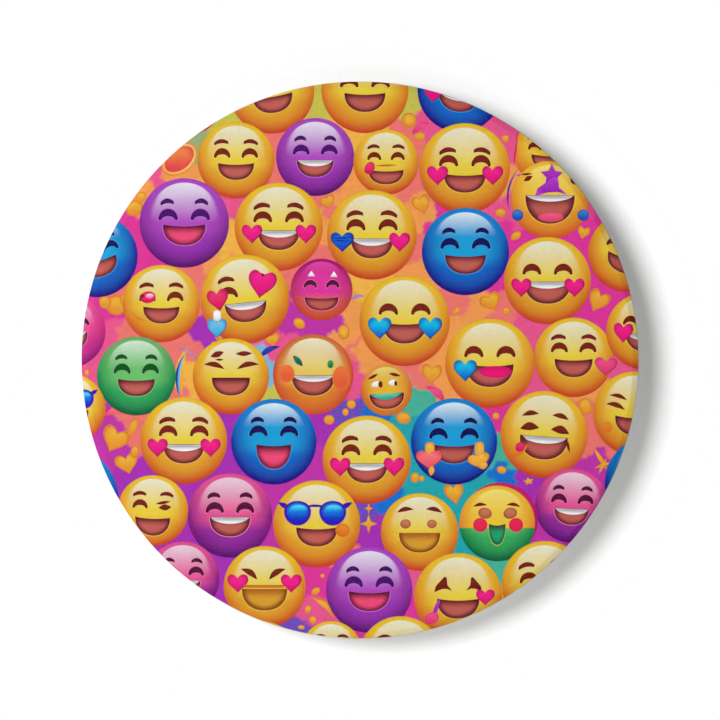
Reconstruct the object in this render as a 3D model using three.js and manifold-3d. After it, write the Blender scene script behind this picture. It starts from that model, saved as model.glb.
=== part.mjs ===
// A 58 mm pin-back button badge. Millimetres, +Z up, the printed face towards -Y.
// The origin is on the badge's axis, on the rear face of its back plate.
//
// Three turned layers (clear film, printed paper, tinplate shell) follow one section line over the
// face, down the rim and round its rolled rear edge. A pressed back plate is crimped inside them,
// and a brooch fitting is riveted to the plate: a strip with two ears, a hinged needle, and a catch
// whose slotted rotor locks the needle in.

import * as THREE from "three";
import { mergeVertices } from "three/addons/utils/BufferGeometryUtils.js";
import Module from "manifold-3d";

const wasm = await Module();
wasm.setup();

// ---- Driving dimensions ----

const DIAMETER = 58; // over the film
const RIM_HEIGHT = 4.6; // from the rear edge of the rim to the crease round the face
const CROWN = 0.8; // how far the middle of the face stands out from the crease
const BEVEL = { width: 0.67, drop: 0.24 }; // the narrow slope outside the crease
const PLATE_RECESS = 2; // from the rear edge of the rim in to the back plate
const ROLL_RADIUS = 0.9; // the rolled rear edge, over the film
const TUCK = 0.9; // how far the layers run on past the roll, inside it

const FILM = { near: 0, far: 0.08 }; // each layer's depths below the outer surface
const PAPER = { near: 0.11, far: 0.21 };
const SHELL = { near: 0.24, far: 0.52 };

const SHEET = 0.3; // the back plate's thickness
const PLATE = { flat: 23.2, bead: 24.3, collar: 26.95, beadHeight: 1.25, collarDepth: 0.7 };
const PLATE_MIDDLE = 5.5; // the clear middle of the plate, a face of its own below the bar
const PLATE_LOCK = { reach: 0.8, depth: 0.5 }; // the collar's end, flared out behind the tuck

const BAR = { length: 34, width: 5, thickness: 0.5, height: 9 }; // height is above the axis
const BAR_RIVET = { at: 8, shank: 0.9, head: 1.7, headHeight: 0.55, tail: 1.6, tailHeight: 0.45 };
const PIN_DEPTH = 2.6; // the needle's axis, behind the back plate
const HINGE_AT = 14.5; // along the bar
const EAR = { radius: 1.5, foot: 1.8, thickness: 0.5, inside: 1.15 };
const HINGE_RIVET = { shank: 0.45, head: 0.85, headHeight: 0.35 };
const EYE = { radius: 1.25, thickness: 1.6 };
const NEEDLE = { radius: 0.45, length: 29.7, taper: 6, start: 0.95 };
const CATCH = { at: -14.5, length: 4, outer: 2.05, inner: 1.65, halfMouth: Math.PI / 6 };
const CATCH_FOOT = { width: 2.4, height: 0.35, stake: 0.8 };
const ROTOR = { barrel: 1.45, bore: 0.75, halfSlot: 0.65, collar: 1.9, collarLength: 0.5 };
const LEVER = { reach: 3.2, width: 1.3, length: 0.8, angle: (-60 * Math.PI) / 180 };

const GAP = 0.3; // between a piece and the neighbour it passes through or turns against

const ROUND_STEPS = 48; // sides of the badge
const SMALL_STEPS = 16; // sides of rivets, wire and bores

// ---- Shape helpers ----

const point = (x, y) => new THREE.Vector2(x, y);

// Moves an open line sideways towards the inside of the badge, with mitred corners.
// A point on the axis stays on it.
function inset(line, distance) {
  const sides = line.slice(1).map((end, i) => {
    const along = end.clone().sub(line[i]).normalize();
    return point(-along.y, along.x);
  });
  return line.map((corner, i) => {
    const after = sides[Math.min(i, sides.length - 1)];
    const mirrored = point(-after.x, after.y);
    const before = i > 0 ? sides[i - 1] : corner.x === 0 ? mirrored : after;
    const mitre = before.clone().add(after).normalize();
    return corner.clone().addScaledVector(mitre, distance / mitre.dot(after));
  });
}

// A body of revolution about Y between two insets of one line.
function turnedSheet(line, near, far, steps = ROUND_STEPS) {
  const section = [...inset(line, near), ...inset(line, far).reverse()];
  return new THREE.LatheGeometry(section, steps);
}

function arcPoints(centre, radius, from, to, steps) {
  return Array.from({ length: steps + 1 }, (_, i) => {
    const angle = from + ((to - from) * i) / steps;
    return point(centre.x + radius * Math.cos(angle), centre.y + radius * Math.sin(angle));
  });
}

function circleHole(x, y, radius) {
  const hole = new THREE.Path();
  hole.absarc(x, y, radius, 0, 2 * Math.PI, true);
  return hole;
}

function extruded(shape, depth, curveSegments = SMALL_STEPS) {
  return new THREE.ExtrudeGeometry(shape, { depth, curveSegments, bevelEnabled: false });
}

// A cylinder whose axis is Y, from one height to another.
function post(radius, from, to, steps = SMALL_STEPS) {
  const geometry = new THREE.CylinderGeometry(radius, radius, to - from, steps);
  return geometry.translate(0, (from + to) / 2, 0);
}

function box(from, to) {
  const size = to.map((high, i) => high - from[i]);
  const middle = to.map((high, i) => (high + from[i]) / 2);
  return new THREE.BoxGeometry(...size).translate(...middle);
}

// ---- Booleans ----

// A solid of a closed mesh. Two triangles with different faces keep the edge between them.
function solidOf(geometry, faceOf) {
  const bare = geometry.clone();
  bare.deleteAttribute("normal");
  bare.deleteAttribute("uv");
  const merged = mergeVertices(bare, 1e-5);
  const corners = merged.index.array;
  const kept = [];
  const faces = [];
  for (let i = 0; i < corners.length; i += 3) {
    const [a, b, c] = [corners[i], corners[i + 1], corners[i + 2]];
    if (a !== b && b !== c && c !== a) {
      kept.push(a, b, c);
      faces.push(faceOf ? faceOf(i / 3) : 0);
    }
  }
  const vertProperties = new Float32Array(merged.attributes.position.array);
  const triVerts = new Uint32Array(kept);
  const faceID = faceOf ? new Uint32Array(faces) : undefined;
  return new wasm.Manifold(new wasm.Mesh({ numProp: 3, vertProperties, triVerts, faceID }));
}

function geometryOf(solid) {
  const mesh = solid.getMesh();
  const geometry = new THREE.BufferGeometry();
  geometry.setAttribute("position", new THREE.BufferAttribute(mesh.vertProperties, 3));
  geometry.setIndex(new THREE.BufferAttribute(mesh.triVerts, 1));
  geometry.computeVertexNormals();
  return geometry;
}

function joined(...parts) {
  const solids = parts.map((part) => solidOf(part));
  return geometryOf(solids.reduce((all, solid) => all.add(solid)));
}

// ---- The badge's shell, paper and film ----

const radius = DIAMETER / 2;
const creaseY = PLATE_RECESS - RIM_HEIGHT;
const rollY = PLATE_RECESS - ROLL_RADIUS;

// The outer surface from the middle of the face to the end of the tuck.
function outline() {
  const crease = radius - BEVEL.width;
  const crown = [0, 0.55 * crease].map((r) =>
    point(r, creaseY - CROWN * (1 - (r / crease) ** 2)),
  );
  const bevelEnd = point(radius - 0.12, creaseY + BEVEL.drop);
  const wallTop = point(radius, creaseY + BEVEL.drop + 0.3);
  const roll = arcPoints(point(radius - ROLL_RADIUS, rollY), ROLL_RADIUS, 0, Math.PI, 4);
  const tuckEnd = point(radius - 2 * ROLL_RADIUS, rollY - TUCK);
  return [...crown, point(crease, creaseY), bevelEnd, wallTop, ...roll, tuckEnd];
}

// ---- The back plate ----

// The plate's middle line: flat, up over the bead, down the collar and out behind the tuck.
function plateLine() {
  const middle = -SHEET / 2;
  const collarEnd = -PLATE.collarDepth;
  return [
    point(0, middle),
    point(PLATE_MIDDLE, middle),
    point(PLATE.flat, middle),
    point(PLATE.bead, PLATE.beadHeight),
    point(PLATE.collar - 0.5, PLATE.beadHeight),
    point(PLATE.collar, PLATE.beadHeight - 0.5),
    point(PLATE.collar, collarEnd),
    point(PLATE.collar + PLATE_LOCK.reach, collarEnd - PLATE_LOCK.depth),
  ];
}

function backPlate() {
  const line = plateLine();
  const bands = 2 * line.length - 1;
  const bandOf = (triangle) => Math.floor(triangle / 2) % bands;
  const plate = solidOf(turnedSheet(line, -SHEET / 2, SHEET / 2), bandOf);
  const holes = [-BAR_RIVET.at, BAR_RIVET.at].map((x) =>
    solidOf(post(BAR_RIVET.shank + GAP, -1, 1).translate(x, 0, BAR.height)),
  );
  return geometryOf(holes.reduce((left, hole) => left.subtract(hole), plate));
}

// ---- The brooch fitting, with its own origin on the back plate below the middle of the bar ----

function pinBar() {
  const [halfLength, halfWidth] = [BAR.length / 2, BAR.width / 2];
  const end = halfLength - halfWidth;
  const strip = new THREE.Shape();
  strip.absarc(end, 0, halfWidth, -Math.PI / 2, Math.PI / 2, false);
  strip.absarc(-end, 0, halfWidth, Math.PI / 2, (3 * Math.PI) / 2, false);
  strip.holes.push(
    circleHole(-BAR_RIVET.at, 0, BAR_RIVET.shank + GAP),
    circleHole(BAR_RIVET.at, 0, BAR_RIVET.shank + GAP),
    circleHole(CATCH.at, 0, CATCH_FOOT.stake + GAP),
  );
  const flat = extruded(strip, BAR.thickness, 8).rotateX(-Math.PI / 2);
  return joined(flat, ear(EAR.inside), ear(-EAR.inside - EAR.thickness));
}

// One hinge ear, standing on the bar with its near face at the given place across it.
function ear(across) {
  const shape = new THREE.Shape();
  shape.moveTo(-EAR.foot, BAR.thickness / 2);
  shape.lineTo(EAR.foot, BAR.thickness / 2);
  shape.absarc(0, PIN_DEPTH, EAR.radius, 0, Math.PI, false);
  shape.closePath();
  shape.holes.push(circleHole(0, PIN_DEPTH, HINGE_RIVET.shank + GAP));
  return extruded(shape, EAR.thickness, 12).translate(HINGE_AT, 0, across);
}

function barRivet() {
  const { shank, head, headHeight, tail, tailHeight } = BAR_RIVET;
  const section = [
    point(0, -SHEET - tailHeight),
    point(0.75 * tail, -SHEET - tailHeight),
    point(tail, -SHEET - 0.4 * tailHeight),
    point(tail, -SHEET),
    point(shank, -SHEET),
    point(shank, BAR.thickness),
    point(head, BAR.thickness),
    point(0.86 * head, BAR.thickness + 0.55 * headHeight),
    point(0.45 * head, BAR.thickness + 0.93 * headHeight),
    point(0, BAR.thickness + headHeight),
  ];
  return new THREE.LatheGeometry(section, SMALL_STEPS);
}

// The rivet through the ears, about its own middle, with its axis along Y.
function hingeRivet() {
  const seat = EAR.inside + EAR.thickness;
  const top = seat + HINGE_RIVET.headHeight;
  const { shank, head } = HINGE_RIVET;
  const section = [
    point(0, -top),
    point(0.7 * head, -top),
    point(head, -seat - 0.4 * HINGE_RIVET.headHeight),
    point(head, -seat),
    point(shank, -seat),
    point(shank, seat),
    point(head, seat),
    point(head, seat + 0.4 * HINGE_RIVET.headHeight),
    point(0.7 * head, top),
    point(0, top),
  ];
  return new THREE.LatheGeometry(section, SMALL_STEPS);
}

// The needle, with its hinge axis along Z through the origin and its tip towards -X.
function needle() {
  const { radius: thick, length, taper, start } = NEEDLE;
  const section = [
    point(0, start),
    point(thick, start),
    point(thick, length - taper),
    point(0.8 * thick, length - 0.55 * taper),
    point(0.48 * thick, length - 0.2 * taper),
    point(0, length),
  ];
  const wire = new THREE.LatheGeometry(section, SMALL_STEPS).rotateZ(Math.PI / 2);
  const disc = new THREE.Shape();
  disc.absarc(0, 0, EYE.radius, 0, 2 * Math.PI, false);
  disc.holes.push(circleHole(0, 0, HINGE_RIVET.shank + GAP));
  const eye = extruded(disc, EYE.thickness, 20).translate(0, 0, -EYE.thickness / 2);
  return joined(eye, wire);
}

// Turns an extrusion so that it runs along X, centred on the origin, its mouth still towards +Y.
const alongX = (geometry, length) => geometry.translate(0, 0, -length / 2).rotateY(Math.PI / 2);

// The C-shaped housing, about the catch's axis, with a foot and a stake that enter the bar.
function catchHousing() {
  const { length, outer, inner, halfMouth } = CATCH;
  const [from, to] = [Math.PI / 2 + halfMouth, (5 * Math.PI) / 2 - halfMouth];
  const ring = new THREE.Shape();
  ring.absarc(0, 0, outer, from, to, false);
  ring.absarc(0, 0, inner, to, from, true);
  ring.closePath();
  const barTop = BAR.thickness - PIN_DEPTH;
  const half = [length / 2, CATCH_FOOT.width / 2];
  const foot = box([-half[0], barTop, -half[1]], [half[0], barTop + CATCH_FOOT.height, half[1]]);
  const stake = post(CATCH_FOOT.stake, barTop - BAR.thickness + 0.05, barTop + 0.1);
  return joined(alongX(extruded(ring, length, 24), length), foot, stake);
}

// A slotted disc about the rotor's axis: the slot runs from the bore out through +Y.
function slottedDisc(outer, length) {
  const { bore, halfSlot } = ROTOR;
  const [rimAngle, boreAngle] = [Math.acos(halfSlot / outer), Math.acos(halfSlot / bore)];
  const shape = new THREE.Shape();
  shape.absarc(0, 0, outer, Math.PI - rimAngle, 2 * Math.PI + rimAngle, false);
  shape.absarc(0, 0, bore, 2 * Math.PI + boreAngle, Math.PI - boreAngle, true);
  shape.closePath();
  return alongX(extruded(shape, length, 20), length);
}

function catchRotor() {
  const { barrel, collar, collarLength } = ROTOR;
  const innerEnd = CATCH.length / 2 + GAP + collarLength;
  const outerEnd = CATCH.length / 2 + GAP + LEVER.length;
  const barrelLength = innerEnd + outerEnd;
  const body = slottedDisc(barrel, barrelLength).translate((innerEnd - outerEnd) / 2, 0, 0);
  const innerCollar = slottedDisc(collar, collarLength);
  innerCollar.translate(innerEnd - collarLength / 2, 0, 0);
  const outerCollar = slottedDisc(collar, LEVER.length);
  outerCollar.translate(LEVER.length / 2 - outerEnd, 0, 0);
  const halfWidth = LEVER.width / 2;
  const lever = box([-outerEnd, 1.2, -halfWidth], [LEVER.length - outerEnd, LEVER.reach, halfWidth]);
  return joined(body, innerCollar, outerCollar, lever.rotateX(LEVER.angle));
}

// ---- Assembly ----

function piece(name, geometry, colour, roughness, metalness) {
  const material = new THREE.MeshStandardMaterial({ color: colour, roughness, metalness });
  const mesh = new THREE.Mesh(geometry, material);
  mesh.name = name;
  return mesh;
}

function placed(mesh, x, y, z) {
  mesh.position.set(x, y, z);
  return mesh;
}

function wrappedDisc() {
  const line = outline();
  const group = new THREE.Group();
  group.add(
    piece("clear_film", turnedSheet(line, FILM.near, FILM.far), 0xf2f4f6, 0.35, 0),
    piece("printed_paper", turnedSheet(line, PAPER.near, PAPER.far), 0xe8b83c, 0.7, 0),
    piece("front_shell", turnedSheet(line, SHELL.near, SHELL.far), 0xb9bcc0, 0.35, 1),
  );
  return group;
}

function broochFitting() {
  const group = new THREE.Group();
  const hingeRivetMesh = piece("hinge_rivet", hingeRivet(), 0xc6c8cb, 0.3, 1);
  hingeRivetMesh.rotation.x = Math.PI / 2;
  group.add(
    piece("pin_bar", pinBar(), 0xc2c5c9, 0.3, 1),
    placed(piece("bar_rivet_left", barRivet(), 0xc6c8cb, 0.3, 1), -BAR_RIVET.at, 0, 0),
    placed(piece("bar_rivet_right", barRivet(), 0xc6c8cb, 0.3, 1), BAR_RIVET.at, 0, 0),
    placed(hingeRivetMesh, HINGE_AT, PIN_DEPTH, 0),
    placed(piece("pin_needle", needle(), 0xd0d2d5, 0.2, 1), HINGE_AT, PIN_DEPTH, 0),
    placed(piece("catch_housing", catchHousing(), 0xc2c5c9, 0.3, 1), CATCH.at, PIN_DEPTH, 0),
    placed(piece("catch_rotor", catchRotor(), 0xc9a95a, 0.35, 1), CATCH.at, PIN_DEPTH, 0),
  );
  group.position.z = BAR.height;
  return group;
}

const badge = new THREE.Group();
badge.add(wrappedDisc(), piece("back_plate", backPlate(), 0xb5b8bc, 0.35, 1), broochFitting());

export default badge;
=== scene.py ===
"""A 58 mm pin-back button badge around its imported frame.

Film, print and shell are turned from one section line. The print is one flat design, cut into
coloured areas and wrapped over the face, the rim and the rolled rear edge. Lengths are in
millimetres until a mesh is made.
"""

import math
import random
from collections import namedtuple

import bmesh
import bpy
import numpy as np
from mathutils import Matrix, Vector, geometry


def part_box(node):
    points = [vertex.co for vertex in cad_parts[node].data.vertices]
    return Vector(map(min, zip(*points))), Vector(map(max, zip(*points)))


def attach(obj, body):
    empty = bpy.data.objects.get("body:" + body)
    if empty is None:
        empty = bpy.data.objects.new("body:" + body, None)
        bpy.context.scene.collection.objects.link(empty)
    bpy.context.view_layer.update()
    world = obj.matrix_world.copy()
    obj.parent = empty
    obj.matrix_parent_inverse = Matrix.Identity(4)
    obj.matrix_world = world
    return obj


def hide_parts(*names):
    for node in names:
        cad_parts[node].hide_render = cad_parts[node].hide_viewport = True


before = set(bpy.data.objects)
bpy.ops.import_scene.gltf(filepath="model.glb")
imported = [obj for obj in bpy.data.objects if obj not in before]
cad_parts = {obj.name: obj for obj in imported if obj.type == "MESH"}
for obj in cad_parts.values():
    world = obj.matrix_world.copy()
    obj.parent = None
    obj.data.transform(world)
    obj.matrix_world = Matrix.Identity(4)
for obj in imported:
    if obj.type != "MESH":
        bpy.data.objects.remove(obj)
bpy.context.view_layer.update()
MM = 0.001

# ---- Sizes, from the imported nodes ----

film_low, film_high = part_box("clear_film")
RADIUS = film_high.x / MM
FRONT = film_low.y / MM
REAR = film_high.y / MM
CROWN = 0.8  # how far the middle of the face stands out from the crease
BEVEL_WIDTH = 0.67
CROWN_GAP = 0.13  # the crown ends this far inside the crease
CREASE_ROUND = 0.5  # radius at the crease
BEVEL_DROP = 0.29
RIM_ROUND = 0.2  # radius between the bevel and the wall
WALL_START = 0.75  # the straight wall begins this far behind the crease
ROLL = 0.9  # radius of the rolled rear edge
TUCK = 0.9  # straight run inside the roll
CROWN_ROWS, WALL_ROWS, ROLL_ROWS = 42, 7, 17
FILM_DEPTHS = (0.0, 0.08)
INK_DEPTH = 0.096
PAPER_DEPTHS = (0.11, 0.21)
SHELL_DEPTHS = (0.24, 0.52)
TURNS = 360  # sides of every turned piece

rng = random.Random(58)


# ---- Colour ----

WALL_LIGHT = 1.085  # how bright pure white card shows under the scene's light
PRINT_LIGHT = 1.155  # how bright a pure white print shows through the film
VEIL = 0.011  # the film's own faint reflection, which every ink shows through


def linear(value):
    value = value / 255
    return value / 12.92 if value <= 0.04045 else ((value + 0.055) / 1.055) ** 2.4


def ink(red, green, blue):
    """The reflectance that shows as this screen colour under the film."""
    return tuple(max(linear(c) - VEIL, 0.001) / PRINT_LIGHT for c in (red, green, blue)) + (1.0,)


def plain(red, green, blue):
    return tuple(linear(c) for c in (red, green, blue)) + (1.0,)


# ---- The section line of the wrapped layers ----


def filleted(points, radii, steps=7):
    """An open line with each inner corner rounded to its radius."""
    line = [points[0]]
    for before, corner, after, radius in zip(points, points[1:], points[2:], radii):
        if radius == 0:
            line.append(corner)
            continue
        to_before = (Vector(before) - Vector(corner)).normalized()
        to_after = (Vector(after) - Vector(corner)).normalized()
        half = to_before.angle(to_after) / 2
        centre = Vector(corner) + (to_before + to_after).normalized() * (radius / math.sin(half))
        start = Vector(corner) + to_before * (radius / math.tan(half)) - centre
        end = Vector(corner) + to_after * (radius / math.tan(half)) - centre
        turn = math.atan2(start.x * end.y - start.y * end.x, start.dot(end))
        spokes = [Matrix.Rotation(turn * i / steps, 2) @ start for i in range(steps + 1)]
        line += [tuple(centre + spoke) for spoke in spokes]
    return [*line, points[-1]]


def wrap_section():
    """The outer surface of the film as (radius, y), from the axis to the end of the tuck."""
    crease, crease_y = RADIUS - BEVEL_WIDTH, FRONT + CROWN
    roll_x, roll_y = RADIUS - ROLL, REAR - ROLL
    out = np.linspace(0, crease - CROWN_GAP, CROWN_ROWS)
    crown = [(r, crease_y - CROWN * (1 - (r / crease) ** 2)) for r in out]
    corners = [crown[-1], (crease, crease_y), (RADIUS, crease_y + BEVEL_DROP)]
    corners += [(RADIUS, y) for y in np.linspace(crease_y + WALL_START, roll_y, WALL_ROWS)]
    rim = filleted(corners, [CREASE_ROUND, RIM_ROUND] + [0] * (WALL_ROWS - 1))
    angles = np.linspace(0, math.pi, ROLL_ROWS)[1:]
    roll = [(roll_x + ROLL * math.cos(a), roll_y + ROLL * math.sin(a)) for a in angles]
    tuck = [(RADIUS - 2 * ROLL, roll_y - TUCK * t) for t in (0.5, 1.0)]
    return np.array(crown[:-1] + rim + roll + tuck)


SECTION = wrap_section()
steps = np.linalg.norm(np.diff(SECTION, axis=0), axis=1)
SECTION_AT = np.concatenate([[0.0], np.cumsum(steps)])  # distance from the middle of the face
sides = np.diff(SECTION, axis=0) / steps[:, None]
outward = np.stack([sides[:, 1], -sides[:, 0]], axis=1)
SECTION_NORMAL = np.concatenate([[[0.0, -1.0]], outward[:-1] + outward[1:], outward[-1:]])
SECTION_NORMAL /= np.linalg.norm(SECTION_NORMAL, axis=1)[:, None]
FACE_END = SECTION_AT[CROWN_ROWS - 1]
PRINT_END = SECTION_AT[-1]
ROLL_AT = PRINT_END - TUCK - math.pi * ROLL

# Faint pleats of the film at the rolled edge: how many round the badge, phase and size.
PLEATS = [(rng.randrange(40, 150), rng.uniform(0, 6.28), rng.uniform(0.3, 1.0)) for _ in range(9)]
PLEAT_HEIGHT = 0.035
PLEAT_START, PLEAT_RUN = 0.5, 2.5  # they begin this far before the roll and grow over this


def wrapped(across, up, depth):
    """Places and normals of flat design points, at a depth below the outer surface."""
    at, angle = np.hypot(across, up), np.arctan2(up, across)
    radius, y, out_r, out_y = (
        np.interp(at, SECTION_AT, column) for column in (*SECTION.T, *SECTION_NORMAL.T)
    )
    length = np.hypot(out_r, out_y)
    out_r, out_y = out_r / length, out_y / length
    rise = np.clip((at - ROLL_AT + PLEAT_START) / PLEAT_RUN, 0, 1) ** 2 * PLEAT_HEIGHT
    height = sum(size * np.sin(count * angle + phase) for count, phase, size in PLEATS) / 3
    slope = sum(size * count * np.cos(count * angle + phase) for count, phase, size in PLEATS) / 3
    sunk = depth - rise * height
    lean = -rise * slope / np.maximum(radius, 1)
    cos, sin, reach = np.cos(angle), np.sin(angle), radius - out_r * sunk
    place = np.stack([reach * cos, y - out_y * sunk, reach * sin], 1)
    normal = np.stack([out_r * cos - lean * sin, out_y, out_r * sin + lean * cos], 1)
    return place, normal / np.linalg.norm(normal, axis=1)[:, None]


# ---- Mesh helpers ----


def new_object(name, places, faces):
    """A linked object, from places in metres."""
    mesh = bpy.data.meshes.new(name)
    mesh.from_pydata([tuple(p) for p in places], [], faces)
    thing = bpy.data.objects.new(name, mesh)
    bpy.context.collection.objects.link(thing)
    return thing


def finish_mesh(thing, smooth_angle, material):
    mesh = thing.data
    mesh.polygons.foreach_set("use_smooth", [True] * len(mesh.polygons))
    mesh.set_sharp_from_angle(angle=math.radians(smooth_angle))
    mesh.materials.clear()
    mesh.materials.append(material)


def closed_turning(rows):
    """Faces of a closed body of revolution. Its first and last rows are points on the axis."""
    faces = []
    last = 1 + (rows - 3) * TURNS
    for k in range(TURNS):
        after = (k + 1) % TURNS
        faces.append((0, 1 + k, 1 + after))
        for a in range(1, last, TURNS):
            faces.append((a + k, a + TURNS + k, a + TURNS + after, a + after))
        faces.append((last + k, last + TURNS, last + after))
    return faces


def wrapped_layer(name, depths, material, node):
    """One closed layer between two depths, following the section line."""
    angles = np.arange(TURNS) * 2 * math.pi / TURNS
    sparse = CROWN_ROWS - 2  # the crown needs only every third row
    kept = [*range(0, sparse, 3), *range(sparse, len(SECTION_AT))]
    rows = []
    for depth, order in ((depths[0], kept), (depths[1], kept[::-1])):
        for at in SECTION_AT[order]:
            around = angles if at else np.zeros(1)
            rows.append(wrapped(at * np.cos(around), at * np.sin(around), depth)[0])
    layer = new_object(name, np.concatenate(rows) * MM, closed_turning(len(rows)))
    layer.data.validate()
    finish_mesh(layer, 40, material)
    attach(layer, "badge")
    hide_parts(node)


# ---- Materials ----


class Look:
    """A node tree, written as nested calls. Arguments are sockets or plain values."""

    def __init__(self, name, kind=bpy.data.materials, output="ShaderNodeOutputMaterial"):
        self.owner = kind.new(name)
        self.owner.use_nodes = True
        self.tree = self.owner.node_tree
        self.tree.nodes.clear()
        self.out = self.tree.nodes.new(output)

    def node(self, kind, inputs=None, **settings):
        made = self.tree.nodes.new(kind)
        for key, value in settings.items():
            setattr(made, key, value)
        for key, value in (inputs or {}).items():
            if isinstance(value, bpy.types.NodeSocket):
                self.tree.links.new(value, made.inputs[key])
            elif value is not None:
                made.inputs[key].default_value = value
        return made

    def shader(self, kind, inputs=None):
        return self.node("ShaderNode" + kind, inputs).outputs[0]

    def calc(self, operation, *values):
        return self.node("ShaderNodeMath", dict(enumerate(values)), operation=operation).outputs[0]

    def length(self, first, second):
        squares = [self.calc("MULTIPLY", side, side) for side in (first, second)]
        return self.calc("SQRT", self.calc("ADD", *squares))

    def ramp(self, value, start, end, low=0.0, high=1.0, smooth=True):
        kind = "SMOOTHSTEP" if smooth else "LINEAR"
        inputs = {0: value, 1: start, 2: end, 3: low, 4: high}
        return self.node("ShaderNodeMapRange", inputs, interpolation_type=kind).outputs[0]

    def mix(self, factor, first, second):
        inputs = {0: factor, 6: first, 7: second}
        return self.node("ShaderNodeMix", inputs, data_type="RGBA").outputs[2]

    def vector(self, operation, first, second=None, scale=None, output=0):
        inputs = {0: first, 1: second, 3: scale}
        return self.node("ShaderNodeVectorMath", inputs, operation=operation).outputs[output]

    def place(self, kind="Object"):
        return self.node("ShaderNodeTexCoord").outputs[kind]

    def noise(self, size, detail=2.0, rough=0.5, stretch=(1, 1, 1)):
        """Noise from 0 to 1 with features of this size in millimetres."""
        where = self.vector("MULTIPLY", self.place(), stretch)
        inputs = {"Vector": where, "Scale": 1 / (size * MM), "Detail": detail, "Roughness": rough}
        return self.node("ShaderNodeTexNoise", inputs).outputs["Fac"]

    def grain(self, noise, low, high):
        """Noise spread linearly between two values."""
        return self.ramp(noise, 0.3, 0.7, low, high, smooth=False)

    def stored(self, name, output="Color"):
        return self.node("ShaderNodeAttribute", attribute_name=name).outputs[output]

    def tones(self, count):
        return [self.stored(f"tone{k + 1}") for k in range(count)]

    def split(self, vector):
        return self.node("ShaderNodeSeparateXYZ", {0: vector}).outputs[:]

    def bump(self, height, depth):
        """A bump of this height in millimetres."""
        return self.shader("Bump", {"Strength": 1.0, "Distance": depth * MM, "Height": height})

    def surface(self, colour, roughness, metallic=0.0, specular=0.5, normal=None):
        inputs = {"Base Color": colour, "Roughness": roughness, "Metallic": metallic}
        inputs |= {"Specular IOR Level": specular, "Normal": normal}
        return self.shader("BsdfPrincipled", inputs)

    def finish(self, shader):
        self.tree.links.new(shader, self.out.inputs["Surface"])
        return self.owner


def finish_print(look, colour):
    """Printed paper: the ink's fine grain and a slight tooth."""
    fine, cloud = look.grain(look.noise(0.22, 3, 0.65), 0.945, 1.055), look.noise(1.6, 2)
    shade = look.calc("MULTIPLY", fine, look.grain(cloud, 0.98, 1.02))
    tooth = look.bump(look.noise(0.12, 2), 0.004)
    rough = look.grain(look.noise(0.5, 2), 0.7, 0.85)
    inked = look.vector("SCALE", colour, scale=shade)
    return look.finish(look.surface(inked, rough, specular=0.02, normal=tooth))


def ball_look():
    """A lit ball: a bright core, a coloured edge that changes with height, and a pale cap."""
    look = Look("print_ball")
    across, up, foot = look.split(look.stored("spot", "Vector"))
    core_top, core_low, edge_top, edge_side, edge_low, cap = look.tones(6)
    reach = look.length(across, up)
    core = look.mix(look.ramp(up, -0.05, -0.42), core_top, core_low)
    upper = look.mix(look.ramp(up, 0.75, 0.0, smooth=False), edge_top, edge_side)
    edge = look.mix(look.ramp(up, 0.0, -0.85, smooth=False), upper, edge_low)
    blend = look.calc("POWER", look.ramp(reach, 0.3, 0.95, smooth=False), 1.8)
    line = look.vector("MULTIPLY", edge, (0.55, 0.45, 0.45))
    body = look.mix(look.ramp(reach, 0.955, 1.0, 0.0, 0.3), look.mix(blend, core, edge), line)
    off = look.length(across, look.calc("SUBTRACT", up, CAP_MIDDLE))
    soft = look.calc("SUBTRACT", CAP_RADIUS, look.ramp(up, 0.85, 0.3, 0.02, 0.14))
    within = look.ramp(off, soft, CAP_RADIUS, 1.0, 0.0)
    height = look.calc("POWER", look.ramp(up, foot, 0.85, smooth=False), 1.25)
    strength = look.calc("MULTIPLY", within, look.calc("MULTIPLY", height, 0.96))
    return finish_print(look, look.mix(strength, body, cap))


def patch_look():
    """Flat painted background with faint brush marks."""
    look = Look("print_patch")
    brush = look.ramp(look.noise(0.7, 4, 0.7, (1, 1, 2.2)), 0.3, 0.72, 0.92, 1.07, smooth=False)
    return finish_print(look, look.vector("SCALE", look.stored("tone1"), scale=brush))


def shaded_look(name, start, end, rim, rim_from=0.55, rim_to=1.15):
    """From one tone at the top to another at the bottom, with a third towards the edge."""
    look = Look(name)
    across, up, _ = look.split(look.stored("spot", "Vector"))
    top, low, edge = look.tones(3)
    fill = look.mix(look.ramp(up, start, end), top, low)
    share = look.ramp(look.length(across, up), rim_from, rim_to, 0.0, rim)
    return finish_print(look, look.mix(share, fill, edge))


BALL, MOUTH, SHADED, FLAT = range(1, 5)  # 0 is the ground's
CAP_MIDDLE, CAP_RADIUS = 0.105, 0.805  # of a ball's pale cap, in the ball's radii


def print_looks():
    return [
        patch_look(),
        ball_look(),
        shaded_look("print_mouth", 0.02, 0.5, 0.9, 0.7, 1.0),
        shaded_look("print_shaded", 0.8, -0.8, 0.8),
        shaded_look("print_flat", 1.0, -1.0, 0.25),
    ]


# ---- The design's inks ----

INKS = {
    "orange": (238, 155, 84), "amber": (238, 178, 74), "coral": (234, 118, 112),
    "rose": (230, 88, 142), "magenta": (220, 58, 152), "orchid": (190, 56, 166),
    "purple": (166, 52, 178), "violet": (112, 78, 186), "blue": (34, 112, 204),
    "sky": (120, 182, 222), "teal": (40, 164, 174), "jade": (74, 176, 152), "lime": (198, 190, 82),
    "sage": (152, 170, 120), "gold": (232, 180, 58), "gold_low": (226, 146, 52),
    "gold_rim": (214, 128, 50),
}

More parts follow.
